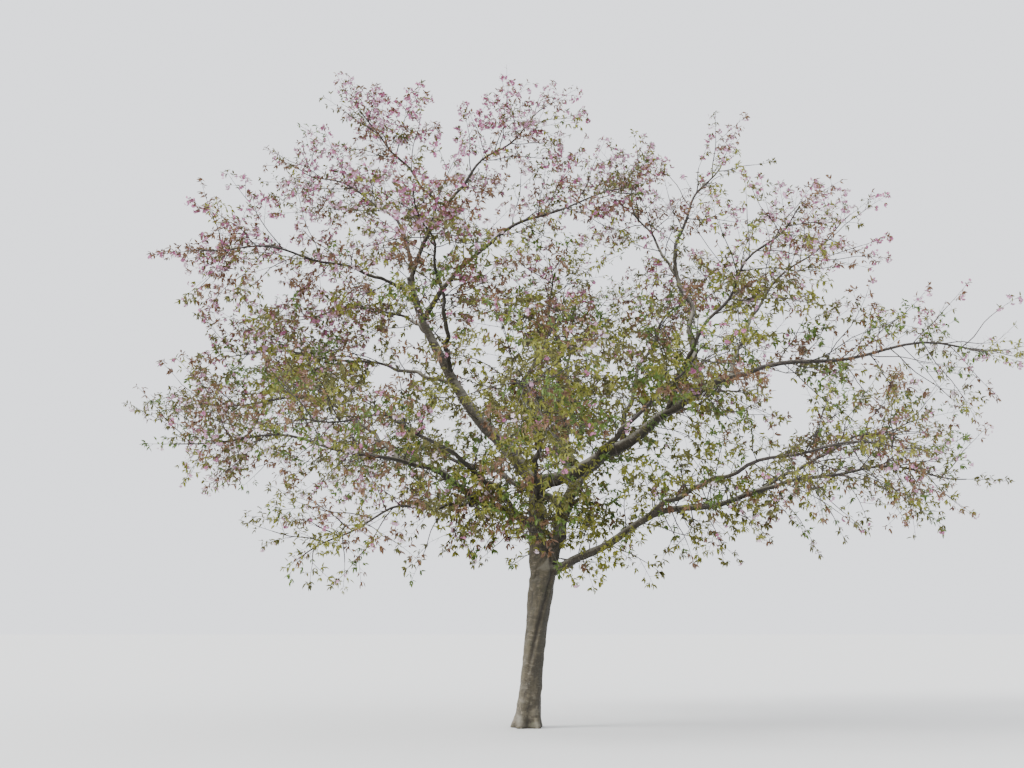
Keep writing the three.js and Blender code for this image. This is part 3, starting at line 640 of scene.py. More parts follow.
def filling_sprays(path, length, room_for, rng):
    """More sprays along a twig or a stem, to alternate sides, each kept within the room it has."""
    count = int(length / SPRAY.every)
    shares = SPRAY.first + (1 - SPRAY.first) * (np.arange(count) + rng.uniform(*FINE.jitter, count)) / count
    roots, aheads = on_path(path, shares)
    sides = level_sides(aheads)
    made = []
    for k in range(count):
        out = rng.uniform(*SPRAY.splay) * (1 if k % 2 else -1)
        tilt = np.cross(sides[k], aheads[k]) * rng.normal(0, SPRAY.tilt)
        way = unit(aheads[k] + sides[k] * out + tilt + UP * rng.uniform(*SPRAY.rise))
        spray_length = min(rng.uniform(*SPRAY.length), room_for(roots[k], way) - SPRAY.edge)
        roll = rng.uniform(*GROWTH.spray_roll)
        bare = is_open(roots[k] + way * SKY.probe)
        if bare and rng.random() > SKY.kept_bare:
            continue
        if spray_length > SPRAY.shortest:
            made.append(new_spray(roots[k], way, roll, spray_length, bare=bare))
    return made


class Crown:
    """The sprays' twiglets and tufts, gathered with the spray that each belongs to."""

    def __init__(self, joints):
        self.joints = joints
        self.wood = Wood()
        self.twiglets = []
        self.tufts = []
        self.sprays = 0

    def spray(self, spray, space, rng):
        """One spray: its bent axis, with twiglets to either side that reach its outline."""
        length = spray.length
        t = np.linspace(0, 1, SPRAY.rings)
        across = turned(level_side(spray.way), spray.way, spray.roll)
        face = np.cross(spray.way, across)
        bend = across * rng.normal(0, SPRAY.bend) + face * rng.normal(0, SPRAY.bend)
        bend = bend - UP * (SPRAY.sag * rng.uniform(-1, 1))
        axis = spray.root + (spray.way * t[:, None] + bend * (t * t)[:, None]) * length
        self.wood.add(SPRAY.sides, axis, np.linspace(SPRAY.radius, SPRAY.tip, SPRAY.rings))
        count = max(TWIGLET.fewest, round(length / TWIGLET.every))
        jitter = rng.uniform(-TWIGLET.jitter, TWIGLET.jitter, count)
        shares = (np.arange(count) + TWIGLET.first + jitter) / (count + TWIGLET.last)
        starts, aheads = on_path(axis, shares)
        signs = np.where((np.arange(count) + self.sprays) % 2 == 0, 1.0, -1.0)
        spread = np.radians(rng.uniform(*TWIGLET.spread, count))[:, None]
        ways = aheads * np.cos(spread) + across * signs[:, None] * np.sin(spread)
        ways = units(ways + face * rng.normal(0, TWIGLET.stray, count)[:, None] + UP * TWIGLET.lift)
        hump = np.sin(math.pi * np.clip(shares, 0, 1) ** TWIGLET.fullest)
        fullness = TWIGLET.least_full + TWIGLET.more_full * hump
        lengths = length * TWIGLET.share * fullness * rng.uniform(*TWIGLET.uneven, count)
        lengths = np.maximum(lengths, TWIGLET.shortest)
        ends = starts + ways * lengths[:, None]
        kept = np.ones(count, bool) if space is None else depth_in(space, ends) < 1
        kept &= gaps_to(self.joints, ends) > FINE.limb_gap
        self.twiglets.append((starts[kept], ways[kept], lengths[kept]))
        self.tuft(axis[-1:], units(axis[-1:] - axis[-2:-1]))
        if not spray.bare:
            self.tuft(ends[kept], ways[kept])
            long = kept & (lengths > TWIGLET.second_tuft_from)
            second = starts[long] + ways[long] * (lengths[long] * TWIGLET.second_tuft_at)[:, None]
            self.tuft(second, ways[long])
        self.sprays += 1

    def tuft(self, places, ways, rich=0.0):
        """Tufts of the spray that is growing. A rich one always bears blossom."""
        count = len(places)
        self.tufts.append((places, ways, np.full(count, self.sprays), np.full(count, rich)))

    def sprays_along(self, path, length, lead, space, room_for, rng):
        """A twig's leading sprays, and then more that fill in between them."""
        for spray in lead:
            spray.root = on_path(path, [spray.share])[0][0]
            self.spray(spray, space, rng)
        for spray in filling_sprays(path, length, room_for, rng):
            self.spray(spray, space, rng)

    def grow(self, mass):
        """A mass, carried on from its stem to its tufts."""
        rng = np.random.default_rng(mass.limb.index)
        stem, space = mass.stem, mass.space
        stray = stem_stray(stem, rng)
        path = np.array([stem.point(t) for t in np.linspace(0, 1, FINE.stem_rings)]) + stray
        thick = mass.limb.radius(1)
        whole = np.concatenate([mass.limb.point(FINE.stem_from)[None], path])
        radii = np.concatenate([[thick * FINE.stem_base], np.linspace(thick, FINE.stem_tip, FINE.stem_rings)])
        self.wood.add(FINE.stem_sides, whole, radii)
        seed = mass.limb.index * SEED.mass + SEED.finer
        per_metre = between(FINE.twigs_per_metre, smooth(part_way(FINE.low_and_high, space.centre[2])))
        filling = twigs_on(stem, space, seed, mass.free, per_metre, FINE.twig_room)
        carriers = [(path, stem.length, mass.sprays[0])]
        for twig, sprays in zip(mass.twigs, mass.sprays[1:]):
            own = twig_path(twig, on_path(stray, [twig.share])[0][0], rng)
            self.wood.add_twig(own, FINE.twig_radius)
            carriers.append((own, twig.length, sprays))
        for twig in filling:
            own = twig_path(twig, on_path(stray, [twig.share])[0][0], rng)
            self.wood.add_twig(own, FINE.twig_radius * FINE.finer)
            ahead = unit(own[-1] - own[-2])
            shortest, longest = FINE.end_spray
            room = max(shortest, min(longest, reach_in(space, own[-1], ahead) - FINE.end_edge))
            end = new_spray(own[-1], ahead, rng.uniform(*GROWTH.spray_roll), room)
            carriers.append((own, twig.length, [end]))
        for carrier in carriers:
            self.sprays_along(*carrier, space, lambda root, way: reach_in(space, root, way), rng)
        for bunch in mass.bunches:
            self.bunch(bunch, rng)

    def bunch(self, bunch, rng):
        """A bunch of blossom hangs from a few short twiglets."""
        count = BUNCH.twiglets
        top = bunch.centre + UP * (bunch.radius * GROWTH.blossom_hang)
        turn = rng.uniform(0, WHOLE_TURN) + np.arange(count) * WHOLE_TURN / count
        ways = units(np.stack([np.cos(turn), np.sin(turn), rng.uniform(*BUNCH.rise, count)], axis=1))
        lengths = bunch.radius * rng.uniform(*BUNCH.length, count)
        starts = np.repeat(top[None], count, axis=0)
        self.twiglets.append((starts, ways, lengths))
        self.tuft(starts + ways * lengths[:, None], ways, 1.0)
        self.sprays += 1

    def shoots(self, limb, rng):
        """Leafy shoots stand round a bough itself. The long ones branch as the twigs do."""
        count = int(limb.length / SHOOT.every)
        for k in range(count):
            share = between(SHOOT.along, (k + rng.uniform(*FINE.jitter)) / count)
            place, girth = limb.point(share), limb.radius(share)
            low = place[2] < SHOOT.full_below
            kept = between(SHOOT.kept_above, smooth(part_way(SHOOT.thin_and_thick, girth)))
            if not low and rng.random() > kept:
                continue
            ahead = tangent_of(limb.point, share)
            side = level_side(ahead)
            turn = math.radians(k * GOLDEN_TURN) + rng.normal(0, SHOOT.turn)
            out = side * math.cos(turn) + np.cross(side, ahead) * math.sin(turn)
            rise = rng.uniform(*(SHOOT.low_rise if low else SHOOT.rise))
            way = unit(out + ahead * rng.uniform(*SHOOT.ahead) + UP * rise)
            root = place + out * (girth * SHOOT.sunk)
            length = between(SHOOT.length, rng.random() ** SHOOT.skew)
            spots = np.array([root + way * (length * s) for s in SHOOT.checks])
            clear = (gaps_to(self.joints, spots) > FINE.limb_gap).all()
            if not clear or spots[-1][2] < SHOOT.lowest or root[2] < SHOOT.least_height:
                continue
            roll = rng.uniform(*GROWTH.spray_roll)
            if length < SHOOT.branched_from:
                self.spray(new_spray(root, way, roll, length), None, rng)
                continue
            twig = straight_twig(root, way, length * SHOOT.twig_share)
            own = twig_path(twig, np.zeros(3), rng)
            self.wood.add_twig(own, FINE.twig_radius * FINE.finer)
            end = new_spray(own[-1], unit(own[-1] - own[-2]), roll, length * SHOOT.end_share)
            self.sprays_along(own, twig.length, [end], None, lambda root, way: SHOOT.branch_room, rng)


# A tuft's leaves and its blossom.
LEAF = SimpleNamespace(
    fewest=4, most=7, fewer_outside=2.3, length=(0.044, 0.082), inside_and_outside=(1.24, 0.98),
    width=0.42, uneven=(0.8, 1.15), fold=0.12, folding=(0.3, 1.3), curl=0.18, curling=(0.2, 1.3),
    splay=(25, 85), turn=0.25, droop=(0.05, 0.8), roll=0.55, spread_back=0.05, mottle=16.0,
)
LEAF_SHAPE = np.array([
    (0, 0, 0), (0.3, 0.47, 1), (0.67, 0.36, 0.8), (1, 0, 0), (0.67, -0.36, 0.8), (0.3, -0.47, 1),
])
LEAF_FACES = np.array([(0, 1, 2), (0, 2, 3), (0, 3, 4), (0, 4, 5)])
FLOWER = SimpleNamespace(
    fewest=3, most=5, radius=(0.019, 0.029), stalk=(0.03, 0.07), stalk_radius=0.001, spread_back=0.02,
    ahead=0.25, aside=0.55, hang=(0.35, 1.1), nod=0.3, mottle=30.0, stalk_mottle=20.0,
)
# Each ring of petals: how many, how long, how steep, and half the angle that a petal takes up.
PETAL_RINGS = ((5, 1.0, 0.3, 0.5), (3, 0.62, 0.75, 0.75))
PETAL_EDGE = ((-1, 0.8, 0.6), (0, 1, 1), (1, 0.8, 0.6))


def gathered_tufts(crown):
    """All tufts in one: their places, their directions, their sprays' numbers and how rich in blossom."""
    places, ways, numbers, rich = (np.concatenate(rows) for rows in zip(*crown.tufts))
    low, high = np.array(cad_box[0]), np.array(cad_box[1])
    kept = ((places > low - FINE.box_room) & (places < high + FINE.box_room)).all(axis=1)
    kept &= gaps_to(crown.joints, places) > FINE.limb_gap
    return SimpleNamespace(places=places[kept], ways=ways[kept], numbers=numbers[kept], rich=rich[kept])


def leaves_of(tufts, counts, sizes, rng):
    """The leaves of every tuft: each is folded along its rib, curls down at its tip and hangs a little."""
    owner = np.repeat(np.arange(len(counts)), counts)
    total = len(owner)
    order = np.arange(total) - np.repeat(np.cumsum(counts) - counts, counts)
    axis = tufts.ways[owner]
    side = level_sides(axis)
    turn = np.radians(order * GOLDEN_TURN) + rng.uniform(0, WHOLE_TURN, len(counts))[owner]
    turn += rng.normal(0, LEAF.turn, total)
    radial = turned_all(side, axis, turn)
    splay = np.radians(rng.uniform(*LEAF.splay, total))[:, None]
    way = axis * np.cos(splay) + radial * np.sin(splay)
    way = units(way - UP * rng.uniform(*LEAF.droop, total)[:, None])
    root = tufts.places[owner] - axis * rng.uniform(0, LEAF.spread_back, total)[:, None]
    across = turned_all(level_sides(way), way, rng.normal(0, LEAF.roll, total))
    face = np.cross(across, way)
    length = rng.uniform(*LEAF.length, total) * sizes[owner]
    width = length * LEAF.width * rng.uniform(*LEAF.uneven, total)
    along, aside, lift = LEAF_SHAPE.T
    fold = rng.uniform(*LEAF.folding, total) * LEAF.fold
    curl = rng.uniform(*LEAF.curling, total) * LEAF.curl
    rise = lift[None] * fold[:, None] - (along**2)[None] * curl[:, None]
    corners = (
        root[:, None]
        + way[:, None] * (along[None] * length[:, None])[..., None]
        + across[:, None] * (aside[None] * width[:, None])[..., None]
        + face[:, None] * (rise * length[:, None])[..., None]
    )
    return corners, owner


def flower_shape():
    """One flower as wide as 1: a ring of outer petals round a smaller, steeper ring."""
    shape, faces = [(0, 0, 0)], []
    for ring, (petals, size, lift, half) in enumerate(PETAL_RINGS):
        for p in range(petals):
            middle = WHOLE_TURN * (p + 0.5 * ring) / petals
            start = len(shape)
            for side, out, up in PETAL_EDGE:
                angle = middle + side * half
                shape.append((size * out * math.cos(angle), size * out * math.sin(angle), size * lift * up))
            faces += [(0, start, start + 1), (0, start + 1, start + 2)]
    return np.array(shape), np.array(faces)


def flowers_of(tufts, counts, rng):
    """The flowers of every tuft hang on stalks."""
    owner = np.repeat(np.arange(len(counts)), counts)
    total = len(owner)
    axis = tufts.ways[owner]
    radial = turned_all(level_sides(axis), axis, rng.uniform(0, WHOLE_TURN, total))
    root = tufts.places[owner] - axis * rng.uniform(0, FLOWER.spread_back, total)[:, None]
    way = axis * FLOWER.ahead + radial * FLOWER.aside - UP * rng.uniform(*FLOWER.hang, total)[:, None]
    way = units(way)
    centre = root + way * rng.uniform(*FLOWER.stalk, total)[:, None]
    look = units(way + rng.normal(0, FLOWER.nod, (total, 3)))
    across = level_sides(look)
    third = np.cross(look, across)
    radius = rng.uniform(*FLOWER.radius, total)
    first = rng.uniform(0, WHOLE_TURN, total)
    shape, faces = flower_shape()
    cos, sin = np.cos(first)[:, None], np.sin(first)[:, None]
    x = shape[:, 0] * cos - shape[:, 1] * sin
    y = shape[:, 0] * sin + shape[:, 1] * cos
    corners = centre[:, None] + (
        across[:, None] * x[..., None] + third[:, None] * y[..., None] + look[:, None] * shape[None, :, 2:]
    ) * radius[:, None, None]
    return corners, faces, owner, spikes(root, centre, FLOWER.stalk_radius)


# The bark's relief: flutes, the groove that runs down from the fork, lumps, and old branch scars.
RELIEF = SimpleNamespace(
    joints=44, side_width=0.0135, least_sides=12, ring_gap=0.03, least_rings=14, girth_at=0.3,
    level_up_to=1 / 3, voxel=0.0125, smoothing=3, level_foot=0.6, limb_shift=3.7,
    flute=0.04, flutes=3, flute_twist=2.1, fluted_from=0.05, fluted_over=0.08,
    groove=0.045, groove_width=0.2, groove_angle=2.18, groove_turn=0.85, groove_over=1.85, groove_fade=0.6,
    # Painted shade on the trunk: darker beside the groove, and where the bark lies sunk.
    shade=0.5, shaded=(0.1, -0.5), shade_end=(-2.2, -0.5),
    lump=0.13, trunk_lump=0.5, lump_size=0.13, knob=0.003, knob_size=0.035, hollow=(-0.004, -0.026),
)
SCAR = SimpleNamespace(
    count=36, radius=(0.025, 0.06), height=(-0.008, 0.014), least_girth=0.045, along=(0.08, 0.85),
    aid=(0.3, 1.0, 0.2), eye=0.35, eye_depth=0.4,
)
MAIN_LIMBS = (
    "trunk", "stem_left", "stem_right", "bough_right", "bough_left_high", "bough_left_low", "bough_low_right",
)


def frames_of(limb, count):
    """A limb's axis as rings: their places, directions and spokes that don't twist. The trunk's foot is
    level, for its flat cut at the ground."""
    shares = np.linspace(0, 1, count + 1)
    spoke = np.array([0.0, 1.0, 0.0])
    aheads, spokes = [], []
    for t in shares:
        ahead = tangent_of(limb.point, t)
        if limb.name == "trunk":
            ahead = unit(ahead + (UP - ahead) * (1 - smooth(t / RELIEF.level_up_to)))
        spoke = unit(spoke - ahead * (spoke @ ahead))
        aheads.append(ahead)
        spokes.append(spoke)
    places = np.array([limb.point(t) for t in shares])
    return SimpleNamespace(shares=shares, places=places, aheads=np.array(aheads), spokes=np.array(spokes))


def bar_along(bm, limb):
    """A closed round bar bent along a limb, with the limb's own girth at every ring."""
    sides = round(WHOLE_TURN * limb.radius(RELIEF.girth_at) / RELIEF.side_width)
    rings = max(RELIEF.least_rings, round(limb.length / RELIEF.ring_gap))
    before = len(bm.verts)
    made = bmesh.ops.create_cone(
        bm, cap_ends=True, cap_tris=False, segments=max(RELIEF.least_sides, sides), radius1=1, radius2=1,
        depth=1,
    )
    edges = {edge for corner in made["verts"] for edge in corner.link_edges}
    long_edges = [edge for edge in edges if abs(edge.verts[0].co.z - edge.verts[1].co.z) > 0.5]
    bmesh.ops.subdivide_edges(bm, edges=long_edges, cuts=rings - 1, use_grid_fill=True)
    frames = frames_of(limb, rings)
    for corner in list(bm.verts)[before:]:
        x, y, z = corner.co
        ring = round((z + 0.5) * rings)
        ahead, spoke = frames.aheads[ring], frames.spokes[ring]
        out = limb.radius(frames.shares[ring], math.atan2(y, x))
        corner.co = Vector(frames.places[ring] + (spoke * x + np.cross(spoke, ahead) * y) * out)


def spots_on(limbs, places, at_a_time=2000):
    """For each place, the limb that it lies on: its girth there, how far along and round it is, and the
    way straight out from its axis."""
    chains = [frames_of(limb, RELIEF.joints) for limb in limbs]
    starts = np.concatenate([c.places[:-1] for c in chains])
    runs = np.concatenate([c.places[1:] - c.places[:-1] for c in chains])
    shares = np.concatenate([c.shares[:-1] for c in chains])
    number = np.repeat(np.arange(len(limbs)), RELIEF.joints)
    girth = np.array([limb.radius(t) for limb, c in zip(limbs, chains) for t in c.shares[:-1]])
    lengths = np.linalg.norm(runs, axis=1)
    near, part = [], []
    for some in np.array_split(places, max(1, len(places) // at_a_time)):
        apart = some[:, None, :] - starts
        share = np.clip(np.einsum("ijk,jk->ij", apart, runs) / lengths**2, 0, 1)
        apart = apart - share[..., None] * runs
        best = (np.sqrt(np.einsum("ijk,ijk->ij", apart, apart)) / girth).argmin(axis=1)
        near.append(best)
        part.append(share[np.arange(len(some)), best])
    near, part = np.concatenate(near), np.concatenate(part)
    out = places - (starts[near] + runs[near] * part[:, None])
    spokes = np.concatenate([c.spokes[:-1] for c in chains])[near]
    thirds = np.cross(spokes, np.concatenate([c.aheads[:-1] for c in chains])[near])
    angle = np.arctan2(np.einsum("ij,ij->i", out, thirds), np.einsum("ij,ij->i", out, spokes))
    whole = np.array([limb.length for limb in limbs])[number]
    trunk = np.array([limb.name == "trunk" for limb in limbs])[number]
    return SimpleNamespace(
        number=number[near], girth=girth[near], angle=angle, out=units(out), trunk=trunk[near],
        along=(shares[near] + part / RELIEF.joints) * whole[near],
    )


def noise_at(places, size):
    return np.array([noise.noise(Vector(place / size)) for place in places])


def groove_at(places, spots):
    """How far round from the trunk's groove each place lies, and how strong the groove is at its height."""
    down = TRUNK.height - places[:, 2]
    middle = RELIEF.groove_angle + RELIEF.groove_turn * down
    aside = np.angle(np.exp(1j * (spots.angle - middle)))
    return aside, np.clip(1 - down / RELIEF.groove_over, 0, 1) ** RELIEF.groove_fade * spots.trunk


def relief_at(places, spots):
    """How far the bark stands out at each place."""
    lump = RELIEF.lump * spots.girth * noise_at(places, RELIEF.lump_size)
    out = lump * np.where(spots.trunk, RELIEF.trunk_lump, 1)
    out += RELIEF.knob * noise_at(places, RELIEF.knob_size)
    thick = np.clip((spots.girth - RELIEF.fluted_from) / RELIEF.fluted_over, 0, 1)
    turn = RELIEF.flutes * spots.angle + RELIEF.flute_twist * spots.along
    out += RELIEF.flute * spots.girth * thick * np.cos(turn)
    aside, fade = groove_at(places, spots)
    out -= RELIEF.groove * fade * np.exp(-((aside / RELIEF.groove_width) ** 2))
    return out


def painted_shade_at(places, spots, out):
    """The painted shade on the bark: darker where it lies sunk, and on the one side of the groove."""
    aside, fade = groove_at(places, spots)
    beside = np.clip(part_way(RELIEF.shaded, aside), 0, 1)
    beside *= np.clip(part_way(RELIEF.shade_end, aside), 0, 1)
    return np.maximum(np.clip(part_way(RELIEF.hollow, out), 0, 1), RELIEF.shade * beside * fade)


def scar_bumps(limbs, places, rng):
    """Old branch scars stand out of the thicker limbs, or lie sunk in them."""
    out = np.zeros(len(places))
    stout = [limb for limb in limbs if limb.radius(RELIEF.girth_at) > SCAR.least_girth]
    for _ in range(SCAR.count if stout else 0):
        limb = stout[rng.integers(len(stout))]
        share, angle = rng.uniform(*SCAR.along), rng.uniform(0, WHOLE_TURN)
        ahead = tangent_of(limb.point, share)
        side = unit(np.cross(ahead, np.array(SCAR.aid)))
        centre = limb.point(share) + turned(side, ahead, angle) * limb.radius(share, angle)
        size, height = rng.uniform(*SCAR.radius), rng.uniform(*SCAR.height)
        apart = np.linalg.norm(places - centre, axis=1) / size
        eye = SCAR.eye_depth * abs(height) * np.exp(-((apart / SCAR.eye) ** 2))
        out += height * np.exp(-(apart**2)) - eye
    return out


def placed_object(name, data):
    made = bpy.data.objects.new(name, data)
    bpy.context.collection.objects.link(made)
    return made


def mesh_of(name, bm):
    mesh = bpy.data.meshes.new(name)
    bm.to_mesh(mesh)
    bm.free()
    return mesh


def fuse(piece):
    """Fuses a piece's overlapping bars, and eases the creases where they meet."""
    joined = piece.modifiers.new("joined", "REMESH")
    joined.mode = "VOXEL"
    joined.voxel_size = RELIEF.voxel
    eased = piece.modifiers.new("eased", "SMOOTH")
    eased.iterations = RELIEF.smoothing
    ready = piece.evaluated_get(bpy.context.evaluated_depsgraph_get())
    piece.data = bpy.data.meshes.new_from_object(ready)
    piece.modifiers.clear()


def bark_piece(name, limbs, fused, material):
    """The bark of some limbs in one mesh. Fused limbs run smoothly into one another at their forks."""
    bm = bmesh.new()
    for limb in limbs:
        bar_along(bm, limb)
    piece = placed_object(name, mesh_of(name, bm))
    if fused:
        fuse(piece)
    mesh = piece.data
    places = np.empty(len(mesh.vertices) * 3)
    mesh.vertices.foreach_get("co", places)
    places = places.reshape(-1, 3)
    spots = spots_on(limbs, places)
    out = relief_at(places, spots) + scar_bumps(limbs, places, np.random.default_rng(SEED.scars))
    shaped = places + spots.out * out[:, None]
    shaped[places[:, 2] < RELIEF.level_foot * RELIEF.voxel, 2] = 0
    mesh.vertices.foreach_set("co", shaped.ravel())
    x, y = (turn(spots.angle) * spots.girth for turn in (np.cos, np.sin))
    rounded = np.stack([x, y, spots.along + spots.number * RELIEF.limb_shift], axis=1)
    # The last attribute is painted shade: darker where the bark lies sunk and beside the groove.
    for attribute, kind, value, values in (
        ("bark_place", "FLOAT_VECTOR", "vector", rounded), ("girth", "FLOAT", "value", spots.girth),
        ("hollow", "FLOAT", "value", painted_shade_at(places, spots, out)),
    ):
        mesh.attributes.new(attribute, kind, "POINT").data.foreach_set(value, values.ravel())
    mesh.polygons.foreach_set("use_smooth", np.ones(len(mesh.polygons), bool))
    mesh.update()
    mesh.materials.clear()
    mesh.materials.append(material)
    return piece


def joined_piece(name, corners, faces, material, smooth_faces=False):
    """One mesh from arrays of corners and of faces, each array with faces of one size."""
    mesh = bpy.data.meshes.new(name)
    mesh.vertices.add(len(corners))
    mesh.vertices.foreach_set("co", np.ascontiguousarray(corners, dtype=np.float32).ravel())
    loops = np.concatenate([part.ravel() for part in faces])
    sizes = np.concatenate([np.full(len(part), part.shape[1]) for part in faces])
    mesh.loops.add(len(loops))
    mesh.loops.foreach_set("vertex_index", loops.astype(np.int32))
    mesh.polygons.add(len(sizes))
    mesh.polygons.foreach_set("loop_start", (np.cumsum(sizes) - sizes).astype(np.int32))
    mesh.polygons.foreach_set("use_smooth", np.full(len(sizes), smooth_faces))
    mesh.update(calc_edges=True)
    mesh.validate()
    mesh.materials.append(material)
    return placed_object(name, mesh)


class Nodes:
    """The nodes of one material or group. Each input is a plain value or another node's output."""

    def __init__(self, tree):
        self.tree = tree

    def feed(self, socket, value):
        if isinstance(value, bpy.types.NodeSocket):
            self.tree.links.new(value, socket)
        else:
            socket.default_value = value

    def add(self, kind, inputs=(), **settings):
        made = self.tree.nodes.new(kind)
        for name, value in settings.items():
            setattr(made, name, value)
        for name, value in dict(inputs).items():
            self.feed(made.inputs[name], value)
        return made

    def reckon(self, operation, first, second):
        return self.add("ShaderNodeMath", {0: first, 1: second}, operation=operation).outputs[0]

    def times(self, first, second):
        return self.reckon("MULTIPLY", first, second)

    def total(self, *terms):
        whole = terms[0]
        for term in terms[1:]:
            whole = self.reckon("ADD", whole, term)
        return whole

    def ramp(self, value, low, high):
        """0 below low, 1 above high, and smooth between them."""
        inputs = {"Value": value, "From Min": low, "From Max": high}
        return self.add("ShaderNodeMapRange", inputs, interpolation_type="SMOOTHSTEP").outputs["Result"]

    def mix(self, share, first, second):
        return self.add("ShaderNodeMix", {0: share, 6: first, 7: second}, data_type="RGBA").outputs[2]

    def speckle(self, vector, scale, detail, roughness):
        inputs = {"Vector": vector, "Scale": scale, "Detail": detail, "Roughness": roughness}
        return self.add("ShaderNodeTexNoise", inputs).outputs["Fac"]

    def stretched(self, vector, scale):
        return self.add("ShaderNodeMapping", {"Vector": vector, "Scale": scale}).outputs["Vector"]

    def moved(self, operation, first, second):
        return self.add("ShaderNodeVectorMath", {0: first, 1: second}, operation=operation).outputs[0]

    def wavering(self, vector, place, scale, amount):
        """A vector that wavers a little from place to place, so that marks laid along it run unevenly."""
        waves = self.add("ShaderNodeTexNoise", {"Vector": place, "Scale": scale, "Detail": 2.0})
        middle = self.moved("SUBTRACT", waves.outputs["Color"], (0.5, 0.5, 0.5))
        shift = self.add("ShaderNodeVectorMath", {0: middle, "Scale": amount}, operation="SCALE").outputs[0]
        return self.moved("ADD", vector, shift)


def new_group(name, inputs, outputs):
    """An empty group of nodes, with what it is given and what it puts out."""
    group = bpy.data.node_groups.new(name, "ShaderNodeTree")
    for way, sockets in (("INPUT", inputs), ("OUTPUT", outputs)):
        for socket, kind in sockets.items():
            group.interface.new_socket(socket, in_out=way, socket_type="NodeSocket" + kind)
    return Nodes(group), group.nodes.new("NodeGroupInput").outputs


def put_out(nodes, values):
    out = nodes.add("NodeGroupOutput")
    for name, value in values.items():
        nodes.feed(out.inputs[name], value)
    return nodes.tree


# Each mark on the bark: how it is stretched round and along the limb, its detail and its roughness.
BARK_MARKS = {
    "streaks": ((26, 26, 5), 5, 0.65),
    "pores": ((12, 12, 85), 2, 0.5),
    "bands": ((6, 6, 22), 3, 0.55),
    "cracks": ((30, 30, 6), 3, 0.5),
}
# The plain speckles, each with its scale, its detail and its roughness, and how the marks' vector wavers.
BARK_SPECKLES = SimpleNamespace(patches=(5.0, 4, 0.6), moss=(3.1, 4, 0.7), lichen=(24.0, 2, 0.5))
BARK_WAVER = SimpleNamespace(scale=7.0, amount=0.05)
# The values over which each effect comes in.
BARK_OVER = SimpleNamespace(
    pores=(0.56, 0.68), bands=(0.4, 0.62), cracks=(0.58, 0.7), pale=(0.38, 0.78), thick=(0.095, 0.148),
    moss=(0.56, 0.84), upper_side=(0.0, 0.7), lichen=(0.66, 0.72), side_shade=(-0.25, 0.7),
)
# The colours that lie over one another, and how strongly each covers what is below it. Each material gives
# the thin limbs' colour itself, and how much algae and paler upper side it bears.
BARK_COATS = SimpleNamespace(
    thin=0.85, crack=(0.5, (0.018, 0.014, 0.011, 1)), pore=(0.55, (0.19, 0.16, 0.115, 1)),
    # Two coats are painted shade: one in the hollows and beside the groove, one on the side away from the sun
    # and below.
    hollow=(0.8, (0.02, 0.015, 0.011, 1)), algae=(0.05, 0.06, 0.018, 1), upper_pale=(0.27, 0.25, 0.2, 1),
    lichen=(0.3, (0.15, 0.15, 0.115, 1)), painted_side_shade=(0.66, (0.017, 0.015, 0.01, 1)),
)
# How much each mark adds to the bark's tone, roughness and height, and how a limb's facing sets the painted
# shade on its side away from the sun and below.
BARK_SHARES = SimpleNamespace(
    tone_streaks=0.6, tone_patches=0.4, tone_bands=0.08, rough=0.68, rough_streaks=0.25,
    high_streaks=0.7, deep_cracks=0.8, high_pores=0.5, mossy_above=0.16, shade_aside=0.8, shade_above=-1.0,
)
BUMP_DEPTH = 0.006


